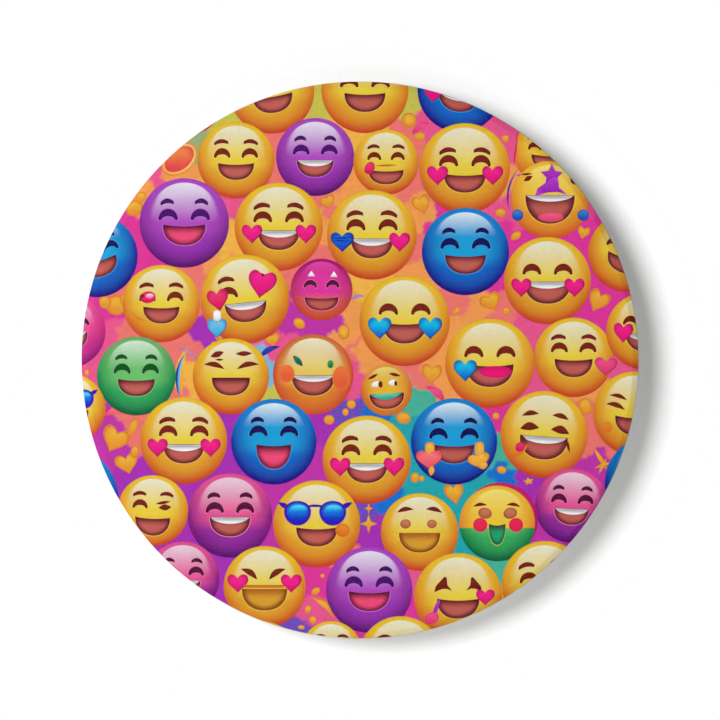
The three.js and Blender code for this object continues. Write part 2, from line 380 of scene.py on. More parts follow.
# Core, core below, edge at the top, at the sides, at the bottom, cap, and the cap's foot
PALETTES = {
    "yellow": ((230, 203, 66), (224, 174, 50), (230, 186, 48), (216, 128, 42),
        (200, 74, 43), (230, 227, 202), 0.0),
    "blue": ((35, 157, 214), (28, 114, 206), (32, 128, 204), (32, 56, 160),
        (34, 24, 130), (212, 230, 240), 0.33),
    "purple": ((176, 78, 190), (160, 60, 184), (170, 72, 190), (136, 50, 150),
        (93, 25, 112), (228, 222, 236), 0.0),
    "green": ((110, 190, 108), (60, 174, 96), (110, 172, 104), (24, 142, 78),
        (16, 98, 64), (206, 228, 207), 0.15),
    "pink": ((227, 84, 148), (155, 52, 162), (219, 82, 143), (138, 38, 130),
        (92, 22, 112), (228, 204, 218), 0.0),
    "rosy": ((232, 80, 152), (214, 58, 146), (228, 84, 150), (202, 50, 126),
        (140, 32, 120), (228, 204, 218), 0.0),
    "sunset": ((222, 58, 160), (216, 104, 70), (168, 32, 112), (182, 56, 98),
        (198, 72, 50), (224, 72, 164), 0.4),
    "ember": ((226, 196, 88), (220, 140, 46), (205, 107, 62), (207, 78, 52),
        (204, 84, 52), (231, 228, 196), 0.0),
    "amber": ((228, 178, 56), (221, 146, 50), (222, 152, 68), (208, 105, 46),
        (202, 112, 50), (228, 208, 120), 0.3),
    "golden": ((236, 196, 62), (226, 164, 50), (234, 184, 56), (222, 138, 50),
        (208, 92, 46), (240, 220, 118), 0.1),
    "crimson": ((206, 40, 108), (198, 36, 100), (200, 38, 104), (186, 34, 100),
        (170, 30, 96), (206, 40, 108), 0.9),
    "red": ((226, 116, 50), (222, 96, 52), (216, 108, 52), (206, 70, 46),
        (196, 60, 44), (232, 170, 90), 0.4),
}

# Marks, their dark edge, the light line under the lip, and the glow round the eyes
FEATURE_INKS = {
    "yellow": ((124, 40, 34), (92, 14, 18), (234, 192, 82), (236, 214, 96)),
    "blue": ((30, 26, 92), (18, 12, 62), (66, 160, 226), (58, 160, 222)),
    "purple": ((74, 26, 108), (50, 12, 80), (196, 120, 218), (190, 104, 206)),
    "green": ((22, 84, 38), (12, 62, 26), (124, 204, 134), (120, 196, 120)),
    "pink": ((88, 28, 62), (60, 12, 40), (238, 138, 184), (232, 116, 166)),
}
FEATURES_OF = {key: key for key in FEATURE_INKS} | {"rosy": "pink", "sunset": "pink"}

# Under the top lip, lower down, and round the edge
MOUTH_INKS = {
    "open": ((98, 30, 48), (190, 96, 86), (92, 24, 48)),
    "tongue": ((70, 14, 36), (234, 76, 120), (104, 24, 56)),
    "ochre": ((172, 100, 40), (212, 156, 52), (120, 52, 28)),
    "teal": ((58, 66, 52), (36, 160, 110), (24, 84, 60)),
}

# ---- Flat outlines, as arrays of (across, up) ----


def arc(centre, radii, start, end, count):
    angles = np.radians(np.linspace(start, end, count))
    return np.stack([np.cos(angles), np.sin(angles)], 1) * radii + np.array(centre)


def ellipse(centre, radii, count=48, turn=0.0):
    points = arc((0, 0), radii, 0, 360, count + 1)[:-1]
    return turned(points, turn) + np.array(centre)


def turning(degrees):
    a = math.radians(degrees)
    return np.array([[math.cos(a), math.sin(a)], [-math.sin(a), math.cos(a)]])


def turned(points, degrees):
    return points @ turning(degrees)


def arch(centre, half_width, tip, top, thick):
    """A smiling eye: a crescent on two narrow feet."""
    foot = 0.4 * thick
    outer = arc((0, tip), (half_width, top - tip), 180, 0, 21)
    inner = arc((0, tip - 0.1 * thick), (half_width - foot, top - tip - 0.9 * thick), 0, 180, 17)
    right = [(half_width - 0.3 * foot, tip - 0.16 * thick)]
    left = [(0.3 * foot - half_width, tip - 0.16 * thick)]
    return np.concatenate([outer, right, inner, left]) + np.array([centre, 0.0])


def brow(centre, half_width, low, top, thick, lean=0.0):
    """A bar bent over an arc, thick in the middle and narrow at its ends."""
    t = np.linspace(-1, 1, 11)
    line = low + (top - thick - low) * (1 - t**2) + thick / 2
    wide = thick / 2 * (1 - 0.28 * t**2)
    above = np.stack([t * half_width, line + wide], 1)
    below = np.stack([t * half_width, line - wide], 1)[::-1]
    end = half_width * 1.05
    outline = np.concatenate([above, [[end, line[-1]]], below, [[-end, line[0]]]])
    middle = np.array([0, (low + top) / 2])
    return turned(outline - middle, lean) + middle + np.array([centre, 0.0])


def heart(centre, width, height, turn=0.0, count=36):
    t = np.linspace(0, 2 * math.pi, count, endpoint=False)
    across = np.sign(np.sin(t)) * np.abs(np.sin(t)) ** 2.3
    up = (13 * np.cos(t) - 5 * np.cos(2 * t) - 2 * np.cos(3 * t) - np.cos(4 * t) + 2.4) / 14.4
    outline = np.stack([across * width / 2, up * height / 2], 1)
    return turned(outline, turn) + np.array(centre)


def lip_line(half_width, corner, dip):
    """The slightly sagging top line of a mouth."""
    t = np.linspace(-1, 1, 13)
    return np.stack([t * half_width, corner - dip * (1 - t**2)], 1)


def smile(half_width, corner, dip, bottom, grow=0.0):
    """An open mouth: its top line and a deep rounded bottom."""
    a = np.radians(np.linspace(0, 180, 27))[1:-1]
    squared = np.sign(np.cos(a)) * np.abs(np.cos(a)) ** 0.92
    deep = np.stack([squared * half_width, corner - (corner - bottom) * np.sin(a) ** 0.86], 1)
    outline = np.concatenate([lip_line(half_width, corner, dip), deep])
    middle = np.array([0, (corner + bottom) / 2])
    return (outline - middle) * (1 + grow) + middle - np.array([0, grow * 0.28])


def teeth(half_width, corner, dip, bottom):
    t = np.linspace(-1, 1, 13)
    under = corner - 0.02 - (corner - bottom - 0.02) * (1 - t**2) ** 0.8
    below = np.stack([t * half_width * 0.985, under], 1)[::-1][1:-1]
    return np.concatenate([lip_line(half_width, corner, dip), below])


def leaf(middle, width, height, turn=0.0, bend=0.0):
    """A long drop with two points, bent by a share of its width."""
    t = np.linspace(-1, 1, 13)
    line = bend * width * (1 - t**2)
    wide = height / 2 * (1 - np.abs(t) ** 1.7)
    above = np.stack([t * width / 2, line + wide], 1)
    below = np.stack([t * width / 2, line - wide], 1)[::-1][1:-1]
    return turned(np.concatenate([above, below]), turn) + np.array(middle)


def block(middle, width, height, turn=0.0, corner=0.35):
    """A rectangle with round corners."""
    edge = corner * min(width, height)
    parts = []
    for quarter, way in enumerate(((1, 1), (-1, 1), (-1, -1), (1, -1))):
        at = (way[0] * (width / 2 - edge), way[1] * (height / 2 - edge))
        parts.append(arc(at, (edge, edge), 90 * quarter, 90 * quarter + 90, 5))
    return turned(np.concatenate(parts), turn) + np.array(middle)


def star(middle, width, height, turn=0.0, points=5, deep=0.5):
    a = np.linspace(0, 2 * math.pi, 2 * points, endpoint=False) + math.pi / 2
    reach = np.where(np.arange(2 * points) % 2 == 0, 1.0, deep)
    outline = np.stack([np.cos(a) * reach * width / 2, np.sin(a) * reach * height / 2], 1)
    return turned(outline, turn) + np.array(middle)


def oval(middle, width, height, turn=0.0):
    return ellipse(middle, (width / 2, height / 2), 32, turn)


def peak(middle, width, height, turn):
    """A bent wedge. A turn below zero mirrors it."""
    corners = [(-0.5, -0.5), (-0.42, -0.1), (0.08, 0.5), (0.2, 0.42), (0.24, -0.05), (0.5, -0.42)]
    corners += [(0.2, -0.28), (-0.1, -0.3)]
    if turn < 0:
        corners = [(-x, y) for x, y in reversed(corners)]
    return np.array(corners) * (width, height) + np.array(middle)


FIGURES = {
    "heart": (heart,), "leaf": (leaf,), "bow": (leaf, 0.12), "block": (block,), "peak": (peak,),
    "star": (star,), "cone": (star, 3), "spark": (star, 4, 0.35), "oval": (oval,), "ring": (oval,),
}


def figure(kind, middle, width, height, turn=0.0):
    shape, *more = FIGURES[kind]
    return shape(middle, width, height, turn, *more)


# ---- The design, painted from back to front ----

# One printed area: its outline, its material and tones, and the flat-to-local map.
Area = namedtuple("Area", "outline look tones to_local offset extra")
areas = []


class Face:
    """A ball's own coordinates: unit radius, and its tilt. The plain one is the flat design."""

    def __init__(self, across=0.0, up=0.0, radius=1.0, tilt=0.0, palette="yellow"):
        self.middle, self.radius, self.tilt = np.array([across, up]), radius, tilt
        kind = FEATURES_OF.get(palette, "yellow")
        self.wide_brows = kind == "yellow"
        self.mark, self.dark, self.lip, self.halo = FEATURE_INKS[kind]

    def put(self, outline, look, tones, middle=None, half=None, extra=0.0):
        """Adds an area in these coordinates. Its look spreads over its box, or the one given."""
        low, high = outline.min(0), outline.max(0)
        middle = (low + high) / 2 if middle is None else np.array(middle, float)
        half = (high - low) / 2 if half is None else np.array(half, float)
        placed = turned(outline, self.tilt) * self.radius + self.middle
        to_local = turning(self.tilt) / self.radius / half[:, None]
        offset = -to_local @ self.middle - middle / half
        areas.append(Area(placed, look, [ink(*t) for t in tones], to_local, offset, extra))

    def edged(self, outline, inner):
        """A dark outline with a slightly lighter inside."""
        self.put(outline, FLAT, [self.dark] * 3)
        self.put(inner, FLAT, [self.mark, self.mark, self.dark])

    def stamp(self, kind, middle, width, height, turn, tones, drop=0.012):
        """One mark. A heart gets a darker rim that shows a little lower."""
        if kind == "heart":
            rim = [tuple(int(c * 0.78) for c in tones[2])] * 3
            lower = (middle[0] + 0.008, middle[1] - drop)
            self.put(heart(lower, width * 1.05, height * 1.05, turn), FLAT, rim)
        self.put(figure(kind, middle, width, height, turn), SHADED, tones)


# Top, bottom and edge of each mark
TONES = {
    "pink": [(238, 44, 140), (224, 18, 124), (200, 14, 104)],
    "sky": [(24, 196, 228), (16, 108, 208), (12, 78, 180)],
    "mask": [(34, 106, 214), (20, 76, 190), (14, 52, 150)],
    "mask_line": [(14, 50, 150), (14, 50, 150), (12, 44, 140)],
    "petal": [(232, 60, 112), (218, 30, 96), (196, 24, 84)],
    "shine": [(250, 214, 224), (236, 130, 160), (226, 96, 136)],
    "ochre": [(200, 120, 50), (196, 112, 46), (190, 106, 44)],
    "white": [(250, 250, 250), (226, 226, 232), (206, 204, 214)],
    "pale_sky": [(112, 196, 230), (72, 168, 218), (54, 140, 200)],
    "rose": [(236, 84, 140), (224, 60, 120), (212, 56, 112)],
    "salmon": [(246, 120, 128), (236, 92, 104), (216, 78, 92)],
    "gold": [(242, 186, 76), (232, 160, 58), (214, 134, 46)],
    "orange": [(228, 138, 46), (220, 116, 40), (214, 104, 40)],
    "blush": [(232, 112, 62), (226, 90, 56), (222, 124, 62)],
    "leaf": [(24, 130, 96), (16, 96, 84), (14, 78, 66)],
    "leaf_bright": [(40, 170, 90), (20, 124, 66), (14, 96, 52)],
    "violet": [(178, 60, 196), (150, 40, 178), (200, 70, 190)],
    "navy": [(48, 66, 170), (40, 52, 150), (34, 40, 130)],
    "bead": [(70, 128, 214), (30, 84, 184), (22, 58, 140)],
    "lilac": [(176, 146, 190), (164, 130, 182), (150, 116, 170)],
    "maroon": [(124, 44, 34), (112, 36, 28), (90, 18, 16)],
    "tan": [(206, 122, 92), (186, 104, 76), (120, 50, 46)],
    "red_disc": [(232, 48, 92), (224, 40, 84), (206, 40, 70)],
    "teal": [(96, 206, 182), (40, 168, 146), (36, 150, 132)],
    "tongue": [(238, 98, 132), (228, 74, 114), (206, 60, 100)],
    "hot": [(222, 14, 110), (238, 30, 124), (214, 20, 104)],
    "cream": [(248, 222, 180), (240, 196, 120), (236, 178, 84)],
    "ember": [(236, 134, 70), (226, 74, 78), (220, 70, 70)],
}

# Marks of one face each: kind, across, up, width, height, turn and tones, maroon if none
MARKS = {
    "kiss": [
        ("oval", -0.5, -0.18, 0.3, 0.4, -28, "petal"), ("leaf", 0, -0.1, 0.72, 0.07, 2, "ochre"),
    ],
    "mask": [
        ("heart", -0.67, -0.15, 0.5, 0.42, 0, "mask"),
        ("leaf", -0.67, -0.07, 0.44, 0.035, 3, "mask_line"),
        ("leaf", -0.67, -0.13, 0.4, 0.03, -3, "mask_line"),
    ],
    "petal": [
        ("bow", -0.57, -0.33, 0.46, 0.05, 150, "orange"),
        ("oval", -0.345, 0.165, 0.4, 0.31, 8, "petal"),
        ("oval", -0.3, 0.2, 0.22, 0.13, 8, "shine"), ("leaf", -0.5, 0.2, 0.14, 0.1, 20),
    ],
    "swoon": [
        ("heart", 0.4, 0.3, 0.61, 0.59, -16, "pink"),
        ("heart", -0.61, 0.05, 0.46, 0.47, 4, "petal"),
        ("block", -0.66, -0.3, 0.17, 0.24, -6, "white"),
        ("heart", -0.7, -0.58, 0.42, 0.42, -6, "pale_sky"),
    ],
    "frosty": [
        ("cone", -0.33, 0.49, 0.28, 0.24, 0, "white"), ("cone", 0.4, 0.47, 0.28, 0.24, 0, "white"),
    ],
    "hot": [("oval", 0.13, -0.19, 0.72, 0.27, 0, "hot")],
    "beyond": [("heart", 0.8, -0.22, 0.54, 0.44, -4, "rose")],
    "near": [("heart", -0.55, -0.07, 0.51, 0.5, 0, "pink")],
    "sly": [
        ("leaf", -0.36, 0.58, 0.37, 0.16, 20), ("leaf", 0.34, 0.6, 0.44, 0.13, 2),
        ("leaf", -0.3, 0.44, 0.22, 0.06, 0), ("bow", -0.44, 0.25, 0.56, 0.14, -12),
        ("bow", 0.45, 0.25, 0.6, 0.14, 12),
    ],
    "ember": [
        ("oval", -0.66, 0.02, 0.4, 0.44, 0, "blush"), ("oval", 0.7, -0.1, 0.44, 0.62, 0, "blush"),
        ("leaf", -0.38, 0.34, 0.36, 0.15, -48, "leaf"),
        ("oval", 0.43, 0.255, 0.15, 0.2, 0, "leaf_bright"),
    ],
    "dazed": [
        ("bow", -0.02, -0.1, 1.34, 0.24, 180, "teal"), ("leaf", -0.49, 0.56, 0.46, 0.12, 24),
        ("leaf", 0.36, 0.58, 0.48, 0.13, -16), ("oval", -0.36, 0.26, 0.44, 0.22, 8, "white"),
        ("oval", 0.27, 0.27, 0.36, 0.24, 0, "white"), ("oval", -0.22, 0.24, 0.17, 0.26, 0),
        ("oval", 0.38, 0.24, 0.12, 0.2, 0),
    ],
    "thumbs": [
        ("block", -0.56, -0.2, 0.22, 0.36, 0, "gold"),
        ("heart", -0.58, -0.42, 0.6, 0.42, 0, "salmon"),
        ("leaf", -0.52, -0.68, 0.24, 0.14, 80, "gold"),
        ("block", 0.59, -0.22, 0.21, 0.42, 0, "gold"),
        ("heart", 0.58, -0.45, 0.5, 0.34, 14, "gold"),
        ("oval", 0.68, -0.56, 0.2, 0.16, 30, "gold"),
    ],
    "hooked": [
        ("bow", -0.34, 0.43, 0.4, 0.12, 10), ("bow", 0.35, 0.41, 0.4, 0.12, -12),
        ("bow", -0.34, 0.12, 0.44, 0.19, 6), ("bow", 0.36, 0.09, 0.44, 0.19, -10),
        ("leaf", -0.52, -0.42, 0.48, 0.14, 42, "orange"),
        ("oval", -0.53, -0.32, 0.21, 0.23, -30, "petal"), ("leaf", 0.56, -0.2, 0.36, 0.07, -72),
        ("leaf", -0.45, -0.13, 0.26, 0.07, -52),
    ],
    "angled": [
        ("bow", -0.43, 0.34, 0.44, 0.1, -12), ("bow", -0.48, 0.12, 0.48, 0.12, -14),
        ("bow", 0.34, 0.3, 0.44, 0.1, -8), ("bow", 0.36, 0.1, 0.46, 0.12, -6),
        ("oval", -0.64, -0.37, 0.24, 0.24, 0, "orange"),
    ],
    "dotted": [("oval", 0.59, -0.14, 0.33, 0.31, 0, "orange")],
    "wink": [("leaf", 0.28, 0.24, 0.42, 0.09, 12), ("leaf", 0.34, 0.11, 0.36, 0.17, 4)],
    "wince": [
        ("bow", -0.38, 0.31, 0.48, 0.15, -33), ("bow", 0.31, 0.31, 0.48, 0.15, 33),
        ("heart", -0.66, 0.1, 0.49, 0.43, 0, "pink"), ("heart", 0.64, 0.1, 0.49, 0.43, 0, "pink"),
        ("block", -0.02, 0.02, 0.98, 0.07, 0, "ochre"),
    ],
    "angular": [
        ("peak", -0.34, 0.29, 0.4, 0.36, 1), ("peak", 0.36, 0.29, 0.36, 0.34, -1),
        ("heart", 0.61, 0.0, 0.41, 0.35, 0, "pink"), ("leaf", -0.5, -0.26, 0.5, 0.1, 70, "violet"),
        ("oval", -0.6, -0.48, 0.34, 0.27, 30, "rose"),
    ],
    "curious": [
        ("bow", -0.37, 0.54, 0.44, 0.12, 10), ("bow", 0.37, 0.54, 0.44, 0.12, -12),
        ("oval", -0.363, 0.21, 0.27, 0.24, 0, "tan"), ("oval", 0.316, 0.21, 0.25, 0.22, 0, "tan"),
    ],
    "moon": [
        ("bow", -0.45, 0.46, 0.38, 0.09, 6), ("bow", 0.43, 0.46, 0.38, 0.09, -8),
        ("oval", -0.32, 0.27, 0.36, 0.29, -10, "tan"),
        ("oval", 0.346, 0.27, 0.36, 0.29, 10, "tan"),
    ],
    "party": [
        ("star", 0.05, 0.62, 0.62, 0.64, 0, "violet"),
        ("peak", 0.03, 0.34, 0.84, 0.5, 1, "violet"), ("leaf", -0.6, 0.66, 0.32, 0.06, 4),
        ("leaf", -0.56, 0.55, 0.26, 0.12, 30), ("leaf", 0.6, 0.5, 0.24, 0.12, -60),
        ("oval", 0.02, -0.44, 0.66, 0.26, 0, "tongue"),
        ("oval", -0.83, -0.39, 0.29, 0.29, 0, "bead"), ("oval", 0.85, -0.39, 0.3, 0.29, 0, "bead"),
        ("bow", -0.93, 0.25, 1.1, 0.05, 78, "navy"),
    ],
    "streamer": [
        ("leaf", -0.94, 0.1, 1.1, 0.07, 84, "petal"),
        ("bow", -0.62, -0.78, 0.66, 0.14, -8, "violet"),
    ],
}

# Half width, height of the corners, height of the bottom
MOUTHS = {
    "low": (0.54, -0.24, -0.68), "hearty": (0.465, -0.12, -0.54), "deep": (0.5, -0.18, -0.7),
    "wide": (0.55, -0.04, -0.57), "grin": (0.68, -0.14, -0.74), "vee": (0.41, -0.06, -0.64),
    "party": (0.63, 0.12, -0.61), "cup": (0.22, -0.01, -0.57), "flat": (0.5, -0.03, -0.5),
    "even": (0.53, -0.02, -0.53), "little": (0.55, -0.25, -0.68), "loving": (0.47, -0.08, -0.525),
    "high": (0.48, -0.035, -0.5),
}
PLAIN_MOUTH = (0.47, -0.075, -0.515)

# How far the eyes sit above the usual
RAISED = {"bare": 0.075, "hearty": -0.02, "loving": 0.04, "lifted": 0.065}


def paint_eyes(face, words):
    raised = next((RAISED[w] for w in words if w in RAISED), 0.0)
    tip, top = 0.085 + raised, 0.315 + raised
    one_eyed = "wink" in words or "swoon" in words
    for side in (-1,) if one_eyed else (-1, 1):
        middle = 0.36 * side
        face.put(arch(middle, 0.236, tip - 0.02, top + 0.02, 0.19), FLAT, [face.halo] * 3)
        outline = arch(middle, 0.216, tip, top, 0.162)
        face.edged(outline, arch(middle, 0.2, tip + 0.012, top - 0.016, 0.128))


def paint_brows(face, words):
    wide = 0.18 if face.wide_brows else 0.145
    shift = -0.075 if "hearty" in words else 0.045 if "lifted" in words else 0.01
    for side in (-1, 1):
        lean = (-9 if "hearty" in words or "loving" in words else -5) * side
        outline = brow(0.385 * side, wide, 0.375 + shift, 0.54 + shift, 0.108, lean)
        inner = brow(0.385 * side, wide * 0.93, 0.392 + shift, 0.526 + shift, 0.076, lean)
        face.edged(outline, inner)


def paint_mouth(face, words):
    tones = next((MOUTH_INKS[w] for w in words if w in MOUTH_INKS), None)
    if tones is None:
        return
    half, corner, bottom = next((MOUTHS[w] for w in words if w in MOUTHS), PLAIN_MOUTH)
    dip = 0.0 if "toothy" in words or "flat" in words else 0.045
    face.put(smile(half, corner, dip, bottom, 0.032), FLAT, [face.lip] * 3)
    shape, spread = smile(half, corner, dip, bottom), (half * 1.02, bottom - corner)
    face.put(shape, MOUTH, tones, (0, corner), spread)
    if "toothy" in words:
        outline = teeth(half * 0.97, corner - 0.01, dip, corner - 0.165)
        face.put(outline, SHADED, [(168, 165, 164), (246, 246, 250), (204, 203, 208)])


def paint_hearts(face, words):
    for name, across, width, height in (("pink", 0.61, 0.45, 0.41), ("sky", 0.56, 0.5, 0.46)):
        for letter, side in (("L", -1), ("R", 1)):
            if name + letter in words:
                middle = (across * side, -0.152)
                face.stamp("heart", middle, width, height, 0, TONES[name], 0.013)


def paint_glasses(face):
    rim, lens = [(58, 30, 168)] * 3, [(20, 150, 226), (24, 44, 196), (40, 40, 190)]
    rings = ((0.312, FLAT, [(104, 36, 176)] * 3), (0.29, FLAT, rim), (0.258, SHADED, lens))
    for side, across in ((-1, -0.44), (1, 0.366)):
        face.put(leaf((across + 0.3 * side, 0.42), 0.34, 0.12, 28 * side), FLAT, rim)
        for radius, look, tones in rings:
            glass = ellipse((0, 0), (radius, radius), 40)
            glass[:, 1] *= np.where(glass[:, 1] > 0, 0.78, 1.05)
            face.put(glass + np.array([across, 0.29]), look, tones)
        shine = arc((across + 0.02, 0.3), (0.215, 0.15), 10, 190, 18)
        face.put(shine, SHADED, [(90, 214, 246), (20, 150, 228), (20, 140, 222)])
    face.put(brow(-0.037, 0.15, 0.38, 0.45, 0.06), FLAT, rim)


def paint_ball(across, up, radius, palette, words="", tilt=0.0):
    words = words.split()
    face = Face(across, up, radius, tilt, palette)
    *tones, foot = PALETTES[palette]
    face.put(ellipse((0, 0), (1, 1), 100), BALL, tones, (0, 0), (1, 1), foot)
    if "moon" in words:
        *tones, foot = PALETTES["green"]
        face.put(arc((0, 0), (1, 1), 187, 353, 60), BALL, tones, (0, 0), (1, 1), foot)
        for side in (-0.93, 1.04):
            face.put(ellipse((0.48 * side, -0.04), (0.19, 0.185), 28), SHADED, TONES["red_disc"])
    paint_mouth(face, words)
    if "glasses" in words:
        paint_glasses(face)
    if "arch" in words:
        paint_eyes(face, words)
        if "bare" not in words and "frosty" not in words:
            paint_brows(face, words)
    paint_hearts(face, words)
    for word in words:
        for kind, u, v, width, height, turn, *name in MARKS.get(word, []):
            face.stamp(kind, (u, v), width, height, turn, TONES[name[0] if name else "maroon"])


# Across, up, radius, palette, face, tilt if any. Later balls lie over those before them.
BALLS = [
    (-17.36, 26.32, 2.71, "red", ""),
    (-9.18, 27.94, 4.43, "yellow", "arch open", 8),
    (0.51, 28.09, 4.53, "yellow", "arch open"),
    (10.36, 28.04, 4.38, "blue", "arch open toothy pinkL", -8),
    (19.42, 21.63, 3.44, "golden", "arch open streamer"),
    (-4.65, 21.08, 4.06, "purple", "arch open toothy"),
    (-12.88, 20.75, 3.99, "yellow", "arch open"),
    (2.7, 20.54, 3.39, "yellow", "arch open low kiss"),
    (10.88, 19.91, 4.69, "yellow", "arch open hearty pinkL pinkR"),
    (19.74, 16.63, 4.06, "golden", "open toothy party"),
    (-18.25, 14.23, 4.65, "purple", "arch tongue high"),
    (-8.45, 13.82, 4.58, "yellow", "arch open toothy loving pinkL pinkR"),
    (1.24, 12.98, 4.65, "yellow", "arch open toothy loving pinkR mask"),
    (27.71, 11.11, 4.01, "yellow", "arch open", -16),
    (10.95, 11.26, 4.53, "blue", "arch open"),
    (-27.36, 10.8, 4.27, "blue", "arch open", 14),
    (19.47, 8.24, 4.53, "yellow", "arch bare open toothy even pinkL pinkR"),
    (-3.99, 7.31, 3.21, "sunset", "arch open little frosty"),
    (-11.94, 6.31, 4.62, "yellow", "arch open toothy swoon", 6),
    (-20.63, 5.85, 4.01, "yellow", "arch open petal"),
    (4.63, 4.05, 4.69, "yellow", "arch bare open high skyL skyR"),
    (-30.18, 2.98, 3.75, "rosy", "arch open toothy", 12),
    (22.18, 0.27, 4.12, "yellow", "arch lifted open high beyond"),
    (29.53, 2.98, 3.96, "yellow", "arch bare open toothy near", -4),
    (13.48, -0.35, 4.64, "yellow", "arch bare open even hot skyL"),
    (-4.86, -1.5, 4.17, "ember", "open toothy even ember"),
    (-23.23, -1.66, 4.1, "green", "arch open"),
    (-13.4, -1.71, 3.96, "yellow", "open flat sly"),
    (2.75, -3.12, 2.66, "amber", "open grin dazed", 4),
    (-29.97, -5.04, 3.54, "yellow", "glasses open", 4),
    (28.59, -5.56, 4.38, "yellow", "open angled", -4),
    (19.11, -7.75, 4.53, "yellow", "open toothy wide hooked", -4),
    (-18.3, -8.38, 4.51, "yellow", "arch open toothy loving pinkL pinkR"),
    (9.76, -8.45, 4.48, "blue", "arch open thumbs"),
    (-8.95, -8.48, 4.44, "blue", "arch lifted tongue vee"),
    (0.7, -10.36, 4.58, "yellow", "arch open toothy loving pinkL pinkR"),
    (29.84, -12.55, 4.38, "blue", "arch open"),
    (-30.07, -14.21, 4.9, "blue", "arch open"),
    (22.03, -15.15, 3.86, "pink", "arch open toothy", -3),
    (-21.53, -15.67, 3.7, "yellow", "arch open deep wink", -2),
    (-13.5, -16.14, 4.38, "pink", "arch open toothy high"),
    (-4.49, -17.03, 4.53, "yellow", "glasses open dotted"),
    (14.55, -16.62, 3.9, "crimson", ""),
    (14.24, -16.97, 3.93, "golden", "teal cup moon"),
    (6.19, -17.86, 4.03, "yellow", "ochre even flat curious"),
    (-18.4, -22.65, 3.8, "pink", "arch open toothy"),
    (19.21, -23.28, 4.48, "yellow", "arch open toothy", 6),
    (-9.91, -23.59, 4.27, "yellow", "ochre wide flat wince"),
    (0.96, -23.87, 4.48, "purple", "arch tongue high"),
    (10.2, -24.63, 4.58, "yellow", "open high angular"),
    (-16.01, -28.18, 3.33, "yellow", "arch open"),
    (-2.98, -30.26, 3.13, "yellow", "arch open"),
    (-10.17, -31.2, 3.96, "yellow", "arch open"),
    (4.21, -30.99, 4.38, "yellow", "arch open"),
]

# Places on the ground between the balls, by their ink.
GROUND = {
    "lime": [(-4.3, 27.1), (5.2, 27.3), (-13.7, 25.0), (-9.5, -3.9), (-14.0, 31.0)],
    "sage": [(-16.6, 22.6)],
    "coral": [
        (-8.9, 22.2), (-17.0, 8.4), (-4.0, 16.6), (-4.3, 11.2), (-7.8, 10.0), (-1.2, 0.6),
        (-17.9, 0.9), (-18.8, -3.6), (-23.9, 3.4), (-24.6, 7.4), (-23.9, -6.4), (6.8, -2.4),
        (14.6, 4.8), (10.2, 6.2), (17.8, 20.4), (5.6, 23.6), (6.2, 18.6), (6.2, 11.6),
        (23.8, -5.2), (24.6, -8.2), (-2.0, -21.2), (28.0, 18.0),
    ],
    "amber": [
        (-1.0, 23.4), (-15.0, 18.3), (-13.8, 13.0), (0.2, 8.2), (-18.3, -2.1), (15.0, -26.6),
        (0.0, 33.5),
    ],
    "orange": [
        (-0.6, 17.4), (-22.8, 18.1), (-18.6, 18.8), (-16.1, 10.2), (-3.6, 13.6), (-0.8, 5.0),
        (-1.7, 2.6), (0.4, 0.2), (8.3, -3.0), (7.6, 0.6), (9.4, 3.8), (12.4, 6.0), (15.6, 18.8),
        (6.6, 15.4), (6.4, 9.0), (24.4, -3.6), (18.0, 28.0), (-26.0, 20.0),
    ],
    "rose": [
        (-21.2, 18.8), (-13.2, 16.6), (-7.6, 1.6), (-25.6, 2.4), (-27.4, -3.6), (-0.8, -1.6),
        (16.8, 4.0), (15.2, 15.6), (15.4, 22.6), (14.0, 24.6), (7.0, 24.2), (23.6, 17.4),
        (17.8, 3.2), (25.8, 0.2), (17.0, -3.2), (-4.6, -26.4), (6.0, -22.4),
    ],
    "magenta": [
        (-24.4, 12.5), (-22.6, 10.0), (-27.6, 7.2), (-26.2, 5.4), (15.6, 12.2), (14.8, 9.0),
        (8.0, 15.0), (24.2, 13.6), (24.6, 8.2), (25.0, 5.6), (14.2, -5.2), (-3.8, -22.8),
        (5.6, -27.0), (0.0, -29.4), (33.0, 6.0), (-33.5, 7.0),
    ],
    "orchid": [
        (-6.4, 3.4), (-3.0, 3.4), (-26.6, -6.6), (-26.6, -10.4), (-9.0, -14.0), (-4.6, -11.4),
        (-9.0, -19.8), (24.4, -11.2), (18.8, -14.6), (17.6, -18.4), (24.0, -20.0), (33.0, -8.0),
        (-33.0, -10.0),
    ],
    "sky": [(-9.3, -1.1)],
    "purple": [
        (-16.0, 1.9), (-23.9, -12.5), (-18.2, -13.4), (-13.8, -12.0), (-13.6, -6.0), (-4.2, -6.6),
        (17.8, -12.6), (1.4, -18.4), (-14.6, -21.6), (-14.4, -26.2), (-16.8, -19.4),
        (-26.0, -22.0),
    ],
    "violet": [(-1.0, -5.6), (0.4, -15.6), (-6.2, -28.4), (-14.0, -31.0)],
    "blue": [(1.2, -6.0), (15.4, -12.4), (2.9, -14.6)],
    "teal": [(4.6, -6.4), (8.6, -13.6), (5.4, -13.4), (10.4, -17.6), (11.8, -13.4), (27.0, -20.0)],
    "jade": [(5.9, -4.0), (14.6, -9.6), (13.6, -21.4), (14.0, -31.0)],
}

